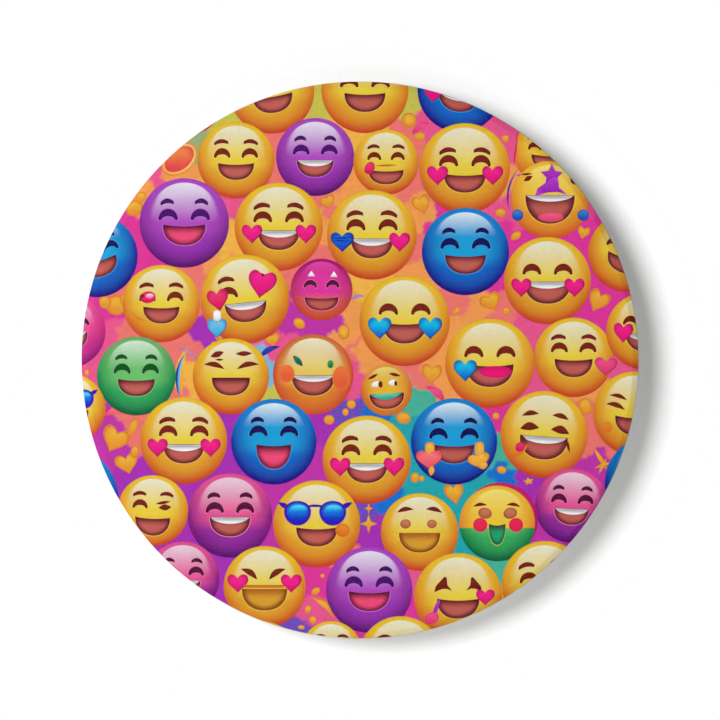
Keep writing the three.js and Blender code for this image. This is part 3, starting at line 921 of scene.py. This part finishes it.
# Gold shapes between the balls: kind, across, up, width, height, turn.
SCRAPS = [
    ("heart", 6.4, 16.1, 1.7, 1.8, 18), ("heart", -3.3, 16.4, 1.4, 1.2, 24),
    ("oval", -23.5, 15.8, 1.7, 1.5, 20), ("oval", -22.8, 16.9, 1.2, 0.9, 50),
    ("ring", 5.1, 24.9, 1.4, 1.4, 0), ("oval", 6.2, 23.2, 1.1, 0.8, 10),
    ("oval", 14.6, 15.3, 1.0, 0.8, 0), ("oval", 16.2, 12.9, 1.1, 0.7, 34),
    ("heart", 23.2, 13.2, 1.2, 1.2, -14), ("heart", 13.6, 6.0, 2.0, 1.7, 26),
    ("oval", 15.2, 5.1, 0.7, 0.7, 0), ("oval", 10.0, 5.1, 0.95, 0.5, 44),
    ("heart", 24.7, 6.1, 2.0, 2.1, -28), ("heart", 7.4, -1.5, 1.9, 1.9, -6),
    ("oval", 4.5, -6.0, 1.4, 1.1, -12), ("oval", 14.1, -5.8, 0.65, 0.65, 0),
    ("oval", -3.2, -6.2, 1.0, 0.9, 0), ("oval", -0.9, -4.6, 0.85, 0.85, 0),
    ("oval", -1.5, -5.4, 0.6, 0.7, 0), ("heart", -9.1, 2.1, 1.5, 1.2, 8),
    ("oval", -6.3, 3.8, 1.2, 0.9, -36), ("ring", -1.7, 2.9, 1.1, 1.4, 0),
    ("heart", 9.8, -13.9, 1.8, 2.0, 10), ("oval", 5.7, -12.2, 0.8, 0.95, 0),
    ("oval", 6.4, -12.3, 0.5, 0.55, 0), ("oval", 14.7, -11.4, 0.9, 0.7, -14),
    ("star", 17.5, -12.6, 1.1, 0.8, 12), ("leaf", 25.0, -10.3, 2.9, 0.4, -58),
    ("leaf", 25.3, -10.9, 1.9, 0.34, 18), ("leaf", 25.2, -11.0, 1.7, 0.34, 64),
    ("block", 23.4, -4.8, 1.1, 1.5, 24), ("heart", -25.5, -8.3, 2.6, 2.4, -24),
    ("oval", -23.6, -7.0, 0.7, 1.9, -28), ("heart", -24.2, -10.8, 2.2, 1.9, 14),
    ("oval", -23.4, -9.5, 0.7, 1.2, -10), ("spark", 0.9, -15.4, 0.9, 1.1, 0),
    ("spark", 0.9, -17.0, 1.7, 1.9, 0), ("oval", -5.4, -25.9, 0.6, 0.8, -20),
    ("bow", -3.9, -25.7, 3.0, 0.55, -42), ("oval", -4.9, -27.0, 0.7, 0.7, 0),
    ("oval", -6.1, -27.8, 0.7, 0.45, 0), ("oval", -4.6, -24.0, 0.9, 0.6, 30),
    ("oval", -28.4, -1.3, 0.5, 0.5, 0), ("oval", -25.3, 5.7, 2.0, 1.9, 0),
    ("oval", -26.5, 6.0, 1.1, 1.3, 20), ("oval", -24.3, 6.3, 1.1, 1.3, -20),
    ("oval", -14.6, 2.4, 0.8, 0.7, 20), ("oval", -15.2, 1.5, 0.5, 0.8, 0),
    ("oval", 15.1, 23.0, 0.7, 0.7, 0), ("star", 8.4, -4.2, 0.8, 0.7, 0),
    ("oval", -3.9, -22.4, 0.4, 0.4, 0),
]

# Painted streaks: across, up, length, width, turn, tones.
STREAKS = [
    (-18.1, -1.2, 5.4, 0.9, 84, "gold"), (-18.35, -1.6, 4.6, 0.42, 84, "pale_sky"),
    (-18.5, -1.6, 4.4, 0.24, 84, "navy"), (-17.9, 0.5, 2.8, 0.26, -32, "lilac"),
    (-9.4, 0.75, 2.6, 0.6, 30, "navy"), (-0.3, 6.4, 1.7, 0.4, 14, "lilac"),
    (7.8, -3.6, 2.6, 0.9, -40, "rose"), (6.3, 24.0, 2.2, 0.8, 34, "rose"),
    (-24.8, -5.6, 4.0, 0.9, 8, "salmon"),
]


def paint_scraps():
    flat, amber, low = Face(), INKS["amber"], INKS["gold_low"]
    for kind, across, up, width, height, turn in SCRAPS:
        for grow, tones in ((1.12, [INKS["gold_rim"]] * 3), (0.92, [INKS["gold"], low, low])):
            outline = figure(kind, (across, up), width * grow, height * grow, turn)
            flat.put(outline, SHADED, tones)
        if kind == "ring":
            inner = ellipse((across, up), (width * 0.3, height * 0.3), 20)
            flat.put(inner, SHADED, [amber, INKS["gold"], low])
    for across, up, width, height, turn, name in STREAKS:
        flat.stamp("bow", (across, up), width, height, turn, TONES[name])
    for width, height, name in ((4.3, 3.0, "gold"), (3.9, 2.7, "cream"), (3.5, 2.3, "ember")):
        flat.stamp("oval", (-18.8, 20.9), width, height, 38, TONES[name])


def paint_bleed_balls():
    """Fills the part of the print that wraps round the rim with more of the same."""
    kinds = ["yellow", "blue", "yellow", "purple", "yellow", "green", "yellow", "pink"]
    taken = [ball[:3] for ball in BALLS]
    count, size, out, overlap = 32, 2.9, RADIUS + 4.3, 0.6
    for k in range(count):
        angle = math.radians(360 / count * k + 4)
        middle = (out * math.cos(angle), out * math.sin(angle))
        if all(math.dist(middle, (x, z)) > size + r - overlap for x, z, r in taken):
            taken.append((*middle, size))
            paint_ball(*middle, size, kinds[k % len(kinds)], "arch open")


BORDER_SHARPNESS = 26.0  # how abruptly one ground ink gives way to the next


def ground_tone(points):
    """The ground's colour at flat places: the nearest named inks, with wavering borders."""
    seeds = np.array([place for places in GROUND.values() for place in places])
    tones = np.array([ink(*INKS[name]) for name, places in GROUND.items() for _ in places])
    x, z = points.T
    waver_x = 0.5 * np.sin(1.7 * z + 0.6 * x) + 0.3 * np.sin(3.9 * x)
    waver_z = 0.5 * np.sin(1.9 * x - 0.8 * z) + 0.3 * np.sin(4.3 * z)
    away = np.linalg.norm((points + np.stack([waver_x, waver_z], 1))[:, None] - seeds, axis=2)
    weight = (away / away.min(1)[:, None]) ** -BORDER_SHARPNESS
    return weight @ tones / weight.sum(1)[:, None]


def paint_design():
    paint_bleed_balls()
    paint_scraps()
    for ball in BALLS:
        paint_ball(*ball)


def inside(outline, points):
    """Even-odd test of many points against one closed outline."""
    hit = np.zeros(len(points), bool)
    x, z = points.T
    for (x1, z1), (x2, z2) in zip(outline, np.roll(outline, -1, axis=0)):
        if z1 != z2:
            crosses = (z1 > z) != (z2 > z)
            hit ^= crosses & (x < (x2 - x1) * (z - z1) / (z2 - z1) + x1)
    return hit


COARSE, FINE = 1.4, 0.34  # spacing of the places that fill the balls and the ground
MERGE = 2e-4  # places nearer than this are one


def filling(spacing):
    """Rows of places over the whole flat face, every other row half a step aside."""
    count = int(PRINT_END / spacing)
    grid = np.array([
        (i * spacing + (j % 2) * spacing / 2, j * spacing * 0.87)
        for i in range(-count - 1, count + 2)
        for j in range(-count - 4, count + 5)
    ])
    return grid[np.hypot(*grid.T) < FACE_END - 0.3]


def cut_design():
    """The flat design's places and triangles, cut along every outline."""
    outlines = [area.outline for area in areas if np.hypot(*area.outline.T).min() < PRINT_END]
    outlines += [ellipse((0, 0), (at, at), TURNS) for at in SECTION_AT[SECTION_AT > FACE_END]]
    points, edges = [], []
    for outline in outlines:
        first, count = len(points), len(outline)
        points += [Vector(p) for p in outline]
        edges += [(first + i, first + (i + 1) % count) for i in range(count)]
    fine = filling(FINE)  # only the ground needs it, for its borders
    balls = np.array([ball[:3] for ball in BALLS])
    gap = np.linalg.norm(fine[:, None] - balls[None, :, :2], axis=2) - balls[None, :, 2]
    points += [Vector(p) for p in (*filling(COARSE), *fine[gap.min(1) > 0.05])]

    flat, _, triangles, *_ = geometry.delaunay_2d_cdt(points, edges, [], 0, MERGE, False)
    flat = np.array([tuple(p) for p in flat])
    triangles = np.array([t for t in triangles if len(t) == 3])
    reach = np.hypot(*flat[triangles].mean(1).T)
    triangles = triangles[reach < PRINT_END * math.cos(math.pi / TURNS)]
    used, triangles = np.unique(triangles, return_inverse=True)
    return flat[used], triangles.reshape(-1, 3)


def owners(middles):
    """For each place, the number of the last area painted over it, or -1."""
    owner = np.full(len(middles), -1)
    for index, area in enumerate(areas):
        low, high = area.outline.min(0), area.outline.max(0)
        near = np.nonzero(((middles >= low) & (middles <= high)).all(1))[0]
        owner[near[inside(area.outline, middles[near])]] = index
    return owner


def print_sheet():
    """The whole design as one surface, cut along every outline and wrapped."""
    paint_design()
    flat, triangles = cut_design()
    owner = owners(flat[triangles].mean(1))
    places, normals = wrapped(*flat.T, INK_DEPTH)
    sheet = new_object("print_ink", places * MM, triangles.tolist())
    mesh = sheet.data
    mesh.polygons.foreach_set("use_smooth", [True] * len(mesh.polygons))

    spot = np.zeros((len(triangles), 3, 3), np.float32)
    tones = np.zeros((6, len(triangles), 3, 4), np.float32)
    tones[..., 3] = 1
    looks = np.zeros(len(triangles), int)
    ground = owner < 0
    tones[0][ground] = ground_tone(flat)[triangles[ground]]
    for index, area in enumerate(areas):
        mine = owner == index
        spot[mine, :, :2] = flat[triangles[mine]] @ area.to_local.T + area.offset
        spot[mine, :, 2] = area.extra
        looks[mine] = area.look
        for k, tone in enumerate(area.tones):
            tones[k][mine] = tone
    store = mesh.attributes.new("spot", "FLOAT_VECTOR", "CORNER")
    store.data.foreach_set("vector", spot.ravel())
    for k, tone in enumerate(tones):
        store = mesh.attributes.new(f"tone{k + 1}", "FLOAT_COLOR", "CORNER")
        store.data.foreach_set("color", tone.ravel())
    for material in print_looks():
        mesh.materials.append(material)
    mesh.polygons.foreach_set("material_index", looks.tolist())
    mesh.normals_split_custom_set_from_vertices([tuple(n) for n in normals])
    sheet.visible_diffuse = False  # so the card behind stays a neutral grey
    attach(sheet, "badge")


# ---- Film, paper, shell ----


def film_material():
    """Satin clear film: a faint rough reflection over whatever is below."""
    look = Look("satin_film")
    normal = look.bump(look.noise(0.35, 3), 0.003)
    rough = look.ramp(look.noise(6, 3), 0.3, 0.7, 0.58, 0.68)
    gloss = {"Color": (1, 1, 1, 1), "Roughness": rough, "Normal": normal}
    clear = look.shader("BsdfTransparent", {"Color": (0.985, 0.987, 0.985, 1)})
    share = look.shader("Fresnel", {"IOR": 1.19, "Normal": normal})
    sheen = look.shader("BsdfAnisotropic", gloss)
    front = look.shader("MixShader", {0: share, 1: clear, 2: sheen})
    behind = look.shader("BsdfTransparent")
    back = look.node("ShaderNodeNewGeometry").outputs["Backfacing"]
    return look.finish(look.shader("MixShader", {0: back, 1: front, 2: behind}))


def paper_material():
    look = Look("white_paper")
    fibre = look.noise(0.15, 4, 0.7)
    colour = look.mix(fibre, plain(226, 224, 216), plain(246, 245, 240))
    return look.finish(look.surface(colour, 0.85, specular=0.2, normal=look.bump(fibre, 0.006)))


def tinplate_material():
    """Rolled tinplate: fine parallel rolling lines, faint blooms and small scuffs."""
    look = Look("tinplate")
    lines = look.noise(1.2, 5, 0.7, (0.06, 1, 9))
    bloom = look.noise(5, 3, 0.6)
    scuffs = look.ramp(look.noise(0.9, 6, 0.8, (3, 1, 1)), 0.62, 0.72, 0.0, 0.1)
    colour = look.mix(bloom, plain(196, 198, 200), plain(216, 217, 217))
    rough = look.calc("ADD", look.ramp(lines, 0.3, 0.7, 0.24, 0.36), scuffs)
    return look.finish(look.surface(colour, rough, metallic=1.0, normal=look.bump(lines, 0.0025)))


tinplate = tinplate_material()
wrapped_layer("film_wrap", FILM_DEPTHS, film_material(), "clear_film")
wrapped_layer("paper_disc", PAPER_DEPTHS, paper_material(), "printed_paper")
wrapped_layer("tin_shell", SHELL_DEPTHS, tinplate, "front_shell")
print_sheet()

# ---- Back plate and brooch fitting ----

def box_of(node):
    return [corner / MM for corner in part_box(node)]


def middle_of(node):
    return [(low + high) / 2 for low, high in zip(*box_of(node))]


catch_low, catch_high = box_of("catch_housing")
CATCH_HALF = (catch_high.x - catch_low.x) / 2
CATCH_X = middle_of("catch_housing")[0]
HINGE_X = middle_of("hinge_rivet")[0]
NEEDLE_LENGTH = HINGE_X - box_of("pin_needle")[0].x  # from the hinge to the point
PIN_Y = middle_of("pin_needle")[1]
BAR_Z = middle_of("pin_bar")[2]
BAR_TOP = 0.5
PLATE_THICK = 0.3
HINGE = (HINGE_X, PIN_Y, BAR_Z)
CATCH = np.array([PIN_Y, BAR_Z])  # the catch's axis, seen along it


def offset_line(line, distance):
    """The open line moved sideways, its first point kept on the axis."""
    line = np.array(line, float)
    along = np.diff(line, axis=0)
    along /= np.linalg.norm(along, axis=1)[:, None]
    aside = np.stack([-along[:, 1], along[:, 0]], 1)
    mitre = np.concatenate([aside[:1], aside[:-1] + aside[1:], aside[-1:]])
    mitre /= np.linalg.norm(mitre, axis=1)[:, None]
    reach = np.concatenate([[1.0], (mitre[1:-1] * aside[1:]).sum(1), [1.0]])
    return line + mitre * (distance / reach)[:, None]


def on_axis(axis, height, first, second):
    """A place at this height on a world axis, from its measures on the other two."""
    at = [first, second]
    at.insert(axis, height)
    return Vector(at)


def lathe(profile, axis, middle, sides=64):
    """A turned shape about a world axis, from (radius, height). Closed by tips or as a ring."""
    tipped = profile[0][0] == 0
    ring = profile[1:-1] if tipped else profile
    turns = [2 * math.pi * k / sides for k in range(sides)]
    places = [
        on_axis(axis, height, radius * math.cos(a), radius * math.sin(a))
        for radius, height in ring
        for a in turns
    ]
    rows, faces = len(ring), []
    for row in range(rows - 1 if tipped else rows):
        a, b = row * sides, (row + 1) % rows * sides
        faces += [(a + k, b + k, b + (k + 1) % sides, a + (k + 1) % sides) for k in range(sides)]
    if tipped:
        for end, first in ((0, 0), (-1, (rows - 1) * sides)):
            tip = len(places)
            places.append(on_axis(axis, profile[end][1], 0, 0))
            faces += [(tip, first + k, first + (k + 1) % sides) for k in range(sides)]
    return [place + Vector(middle) for place in places], faces


def prism(outline, axis, low, high, bevel=0.08, steps=3):
    """An outline run along an axis, its long edges rounded."""
    outline = np.array(outline, float)
    before, after = outline - np.roll(outline, 1, 0), np.roll(outline, -1, 0) - outline
    before /= np.linalg.norm(before, axis=1)[:, None]
    after /= np.linalg.norm(after, axis=1)[:, None]
    x, y = outline.T
    way = np.sign((x * np.roll(y, -1) - y * np.roll(x, -1)).sum())
    aside = [np.stack([-v[:, 1], v[:, 0]], 1) * way for v in (before, after)]
    mitre = aside[0] + aside[1]
    mitre /= np.maximum(np.linalg.norm(mitre, axis=1), 1e-6)[:, None]
    mitre /= np.maximum((mitre * aside[1]).sum(1), 0.45)[:, None]
    angles = [math.pi / 2 * i / steps for i in range(steps + 1)]
    levels = [(bevel * (1 - math.sin(a)), low + bevel * (1 - math.cos(a))) for a in angles]
    levels += [(inset, low + high - height) for inset, height in reversed(levels)]
    rings = [(outline + mitre * inset, height) for inset, height in levels]
    places = [on_axis(axis, height, *p) for ring, height in rings for p in ring]
    count, faces = len(outline), []
    for a in range(0, len(places) - count, count):
        faces += [
            (a + k, a + (k + 1) % count, a + count + (k + 1) % count, a + count + k)
            for k in range(count)
        ]
    faces += [tuple(range(count)), tuple(range(len(places) - count, len(places)))]
    return places, faces


def solid(name, shape):
    places, faces = shape
    thing = new_object(name, [place * MM for place in places], faces)
    work = bmesh.new()
    work.from_mesh(thing.data)
    bmesh.ops.recalc_face_normals(work, faces=work.faces)
    work.to_mesh(thing.data)
    work.free()
    return thing


def fused(name, shapes, body, node, material):
    """One piece from overlapping closed shapes, standing for a CAD node."""
    first, *rest = [solid(f"{name}_{i}" if i else name, shape) for i, shape in enumerate(shapes)]
    for tool in rest:
        cut = first.modifiers.new("join", "BOOLEAN")
        cut.operation, cut.solver, cut.object = "UNION", "EXACT", tool
    if rest:
        bpy.context.view_layer.update()
        whole = first.evaluated_get(bpy.context.evaluated_depsgraph_get())
        made = bpy.data.meshes.new_from_object(whole)
        first.modifiers.clear()
        first.data = made
    for tool in rest:
        bpy.data.objects.remove(tool)
    finish_mesh(first, 38, material)
    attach(first, body)
    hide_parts(node)


def metal_material(name, dark, light, rough, grain, grain_size, pits=0.3):
    """Bright metal with its working marks along one direction, fine scratches, faint stains."""
    look = Look(name)
    lines = look.noise(grain_size, 5, 0.7, grain)
    stain = look.noise(2.5, 4, 0.6)
    scratch = look.ramp(look.noise(0.35, 6, 0.8, (4, 1, 1)), 0.6, 0.68, 0.0, 0.12)
    colour = look.mix(look.calc("MULTIPLY", stain, lines), plain(*dark), plain(*light))
    spread = look.calc("ADD", look.ramp(lines, 0.3, 0.7, rough - 0.05, rough + 0.07), scratch)
    height = look.calc("ADD", lines, look.calc("MULTIPLY", look.noise(0.12, 2), pits))
    return look.finish(look.surface(colour, spread, metallic=1.0, normal=look.bump(height, 0.002)))


def back_plate():
    """The pressed plate: flat, up over a rounded bead, down its collar and out behind the tuck."""
    corners = [(0, -0.15), (23.2, -0.15), (24.3, 1.25), (26.45, 1.25), (26.95, 0.75)]
    corners += [(26.95, -0.7), (27.75, -1.2)]
    line = filleted(corners, [0.55, 0.75, 0.35, 0.35, 0.3], 6)
    half = PLATE_THICK / 2
    section = np.concatenate([offset_line(line, half), offset_line(line, -half)[::-1]])
    section[[0, -1], 0] = 0
    return lathe(section, 1, (0, 0, 0), TURNS // 2)


def stadium(half_length, half_width, middle, sides=20):
    run = half_length - half_width
    right = arc((run, 0), (half_width, half_width), -90, 90, sides)
    left = arc((-run, 0), (half_width, half_width), 90, 270, sides)
    return np.concatenate([right, left]) + np.array(middle)


def ear(inner, outer):
    foot, neck, top = 1.8, 1.78, 1.5
    left = [(HINGE_X - foot, 0.25)]
    right = [(HINGE_X + foot, 0.25), (HINGE_X + neck, 0.9), (HINGE_X + top, PIN_Y - 0.3)]
    round_top = arc((HINGE_X, PIN_Y), (top, top), 0, 180, 25)
    other = [(2 * HINGE_X - x, y) for x, y in right[:0:-1]]
    outline = np.concatenate([left, right, round_top, other])
    return prism(outline, 2, BAR_Z + inner, BAR_Z + outer, 0.09)


def domed(radius, height, steps=8):
    """A low rivet head in section, from its middle to its edge."""
    edge = [(radius * math.cos(a), height * (0.25 + 0.75 * math.sin(a)))
            for a in np.linspace(math.pi / 2, 0.12, steps)]
    return [(0, height), *edge[1:]]


def bar_rivet(x):
    head, shank = 1.7, 0.9
    dome = [(r, BAR_TOP + h) for r, h in domed(head, 0.55)]
    edge = [(head, BAR_TOP + 0.1), (head - 0.04, BAR_TOP), (shank, BAR_TOP)]
    tail = [(shank, -0.3), (1.6, -0.3), (1.6, -0.5), (1.45, -0.68), (1.15, -0.75), (0, -0.75)]
    return lathe([*dome, *edge, *tail], 1, (x, 0, BAR_Z), 48)


def hinge_rivet():
    seat, shank = 1.65, 0.45
    half = [(r, seat + h) for r, h in domed(0.85, 0.35, 7)] + [(0.83, seat), (shank, seat)]
    return lathe([*half, *[(r, -h) for r, h in reversed(half)]], 2, HINGE, 40)


def needle_shapes():
    inner, outer, half, edge = 0.75, 1.25, 0.8, 0.16
    ring = []
    corners = ((outer, half), (inner, half), (inner, -half), (outer, -half))
    for quarter, (r, z) in enumerate(corners):
        centre = (r - edge if r == outer else r + edge, z - math.copysign(edge, z))
        ring += [tuple(p) for p in arc(centre, (edge, edge), 90 * quarter, 90 * quarter + 90, 5)]
    wire, eye_end, taper = 0.45, -0.95, 6  # the wire's radius and ends, towards its point
    line = [(0, eye_end), (wire, eye_end), (wire, taper - NEEDLE_LENGTH)]
    for t in np.linspace(0.1, 1, 12):
        line.append((wire * math.sqrt(1 - t), taper * (1 - t) - NEEDLE_LENGTH))
    return [lathe(ring, 2, HINGE, 56), lathe(line, 0, HINGE, 32)]


def housing_shapes():
    mouth, inside, middle, outside = 30, 1.65, 1.85, 2.05  # half the mouth's angle, then radii
    outer = arc(CATCH, (outside, outside), mouth, 360 - mouth, 64)
    inner = arc(CATCH, (inside, inside), 360 - mouth, mouth, 56)
    way = (arc(CATCH, (middle, middle), 360 - mouth, 360 - mouth, 1)[0] - CATCH) / middle
    tip = [CATCH + way * middle + 0.2 * turned(way[None], a)[0] for a in range(30, 151, 30)]
    other = [(x, 2 * BAR_Z - z) for x, z in reversed(tip)]
    outline = np.concatenate([outer, tip, inner, other])
    ring = prism(outline, 0, CATCH_X - CATCH_HALF, CATCH_X + CATCH_HALF, 0.06)
    foot = stadium(CATCH_HALF - 0.02, 0.35, (CATCH_X, BAR_Z), 8)
    foot = [(x, BAR_Z + (z - BAR_Z) * 3.3) for x, z in foot]
    pad = prism(foot, 1, BAR_TOP, BAR_TOP + 0.42, 0.07)
    stake = lathe([(0, 0.06), (0.8, 0.06), (0.8, 0.7), (0, 0.7)], 1, (CATCH_X, 0, BAR_Z), 32)
    return [ring, pad, stake]


def slotted(outer, low, high, bevel):
    """A disc about the catch's axis with a slot from its bore out through the rear."""
    bore, half_slot = 0.75, 0.65
    at_rim, at_bore = (math.degrees(math.asin(half_slot / r)) for r in (outer, bore))
    rim = arc(CATCH, (outer, outer), at_rim, 360 - at_rim, 60)
    hole = arc(CATCH, (bore, bore), 360 - at_bore, at_bore, 24)
    return prism(np.concatenate([rim, hole]), 0, low, high, bevel)


def rotor_shapes():
    gap, collar, lever, overlap = 0.3, 0.5, 0.8, 0.1
    inner, outer = CATCH_X + CATCH_HALF + gap, CATCH_X - CATCH_HALF - gap
    body = slotted(1.45, outer - lever + overlap, inner + collar - overlap, 0.05)
    inner_collar = slotted(1.9, inner, inner + collar, 0.1)
    outer_collar = slotted(1.9, outer - lever, outer, 0.12)
    tip = [(2.72 + 0.48 * math.cos(a), 0.6 * math.sin(a)) for a in np.linspace(-1.5, 1.5, 13)]
    blade = np.array([(1.2, -0.65), (2.6, -0.6), *tip, (2.6, 0.6), (1.2, 0.65)])
    blade = turned(blade, -60) + CATCH
    return [body, inner_collar, outer_collar, prism(blade, 0, outer - lever, outer, 0.1)]


# Dark and light tones, roughness, and the direction and size of the working marks.
nickel = metal_material("nickel_plate", (176, 173, 166), (214, 211, 204), 0.2, (0.25, 1, 2), 0.6)
wire_steel = metal_material(
    "drawn_wire", (188, 190, 194), (216, 218, 221), 0.16, (0.05, 2, 2), 0.25, 0.1
)
brass = metal_material(
    "turned_brass", (178, 134, 62), (222, 184, 104), 0.24, (4, 0.25, 0.25), 0.35
)

strip = prism(stadium(17, 2.5, (0, BAR_Z)), 1, 0.004, BAR_TOP, 0.12)
bar_shapes = [strip, ear(1.15, 1.65), ear(-1.65, -1.15)]
fused("plate_back", [back_plate()], "badge", "back_plate", tinplate)
fused("strip_bar", bar_shapes, "badge", "pin_bar", nickel)
for side, x in (("left", -8), ("right", 8)):
    fused(f"rivet_{side}", [bar_rivet(x)], "badge", f"bar_rivet_{side}", nickel)
fused("rivet_hinge", [hinge_rivet()], "badge", "hinge_rivet", nickel)
fused("needle_wire", needle_shapes(), "needle", "pin_needle", wire_steel)
fused("catch_ring", housing_shapes(), "badge", "catch_housing", nickel)
fused("catch_lock", rotor_shapes(), "rotor", "catch_rotor", brass)

# ---- Stage, light and camera ----

WALL_RADIUS = 34.4
WALL_MIDDLE = (2.6, 2.06, -0.95)  # touching the rim
WALL_FADE = (31.2, 34.0)  # where the card ends softly
FLOOR_Z = -50
KEY_SHARE = 0.715
ROOM_LIGHT = 0.23
LIGHT = 3.14159 * WALL_LIGHT  # irradiance on a surface that faces the camera
KEY_TOWARDS = Vector((-0.52, -0.83, 0.23)).normalized()
KEY_DISTANCE = 1.2
KEY_WIDTH = 0.66
CAMERA_DISTANCE = 1.0
SHOWN = 74.74  # width of the camera's view at the face
SENSOR = 36.0
WHITE = (1, 1, 1, 1)


def wall_material():
    """White card. From behind it isn't there, and it ends softly."""
    look = Look("card")
    white = look.mix(look.noise(0.3, 3), (0.93, 0.93, 0.93, 1), (0.96, 0.96, 0.96, 1))
    front = look.surface(white, 1.0, specular=0.0)
    away = look.vector("LENGTH", look.place(), output="Value")
    faded = look.ramp(away, *(edge * MM for edge in WALL_FADE))
    back = look.node("ShaderNodeNewGeometry").outputs["Backfacing"]
    hidden = look.calc("MAXIMUM", faded, back)
    clear = look.shader("BsdfTransparent")
    return look.finish(look.shader("MixShader", {0: hidden, 1: front, 2: clear}))


def floor_material():
    look = Look("pale_floor")
    tone = look.mix(look.noise(3, 4), (0.86, 0.86, 0.855, 1), (0.9, 0.9, 0.895, 1))
    bump = look.bump(look.noise(0.8, 3), 0.02)
    return look.finish(look.surface(tone, 0.8, specular=0.2, normal=bump))


def build_stage():
    disc = ellipse((0, 0), (WALL_RADIUS, WALL_RADIUS), 96)
    wall = new_object("stage_wall", [(x * MM, 0, z * MM) for x, z in disc], [range(96)])
    wall.location = Vector(WALL_MIDDLE) * MM
    finish_mesh(wall, 40, wall_material())
    wall.visible_shadow = wall.visible_diffuse = wall.visible_glossy = False
    wall.visible_transmission = False
    corners = [(-400, -400), (400, -400), (400, 250), (-400, 250)]
    places = [(x * MM, y * MM, FLOOR_Z * MM) for x, y in corners]
    floor = new_object("stage_floor", places, [range(4)])
    finish_mesh(floor, 40, floor_material())


def add_lamp(name, towards, distance, width, power):
    lamp = bpy.data.lights.new(name, "AREA")
    lamp.shape, lamp.size, lamp.energy = "DISK", width, power
    thing = bpy.data.objects.new(name, lamp)
    thing.location = towards * distance
    thing.rotation_euler = towards.to_track_quat("Z", "Y").to_euler()
    bpy.context.collection.objects.link(thing)


def studio_world():
    """White to the camera. It lights the front evenly, and the back mostly from above."""
    look = Look("studio", bpy.data.worlds, "ShaderNodeOutputWorld")
    _, depth, up = look.split(look.place("Generated"))
    rise = look.node("ShaderNodeValToRGB", {0: look.ramp(up, -1.0, 1.0, smooth=False)})
    low, high = rise.color_ramp.elements
    low.position, low.color = 0.3, (0.35, 0.36, 0.38, 1)
    high.position, high.color = 0.8, (2.2, 2.2, 2.2, 1)
    colour = look.mix(look.ramp(depth, 0.02, 0.3, smooth=False), WHITE, rise.outputs[0])
    room = look.shader("Background", {"Color": colour, "Strength": ROOM_LIGHT})
    white = look.shader("Background", {"Color": WHITE})
    seen = look.node("ShaderNodeLightPath").outputs["Is Camera Ray"]
    return look.finish(look.shader("MixShader", {0: seen, 1: room, 2: white}))


def build_light():
    facing = -KEY_TOWARDS.y
    power = KEY_SHARE * LIGHT * math.pi * KEY_DISTANCE**2 / facing
    add_lamp("key", KEY_TOWARDS, KEY_DISTANCE, KEY_WIDTH, power)
    add_lamp("rear", Vector((-0.3, 0.7, 0.65)).normalized(), 0.8, 0.35, 3.0)
    bpy.context.scene.world = studio_world()


def build_camera():
    camera = bpy.data.cameras.new("camera")
    thing = bpy.data.objects.new("camera", camera)
    bpy.context.collection.objects.link(thing)
    camera.sensor_width = SENSOR
    camera.lens = SENSOR * (CAMERA_DISTANCE + FRONT * MM * 0.75) / (SHOWN * MM)
    camera.clip_start, camera.clip_end = 0.05, 20.0
    thing.location = (0, -CAMERA_DISTANCE, 0)
    thing.rotation_euler = (math.pi / 2, 0, 0)
    scene = bpy.context.scene
    bpy.context.scene.camera = thing
    scene.view_settings.view_transform = "Standard"
    scene.view_settings.look = "None"


build_stage()
build_light()
build_camera()
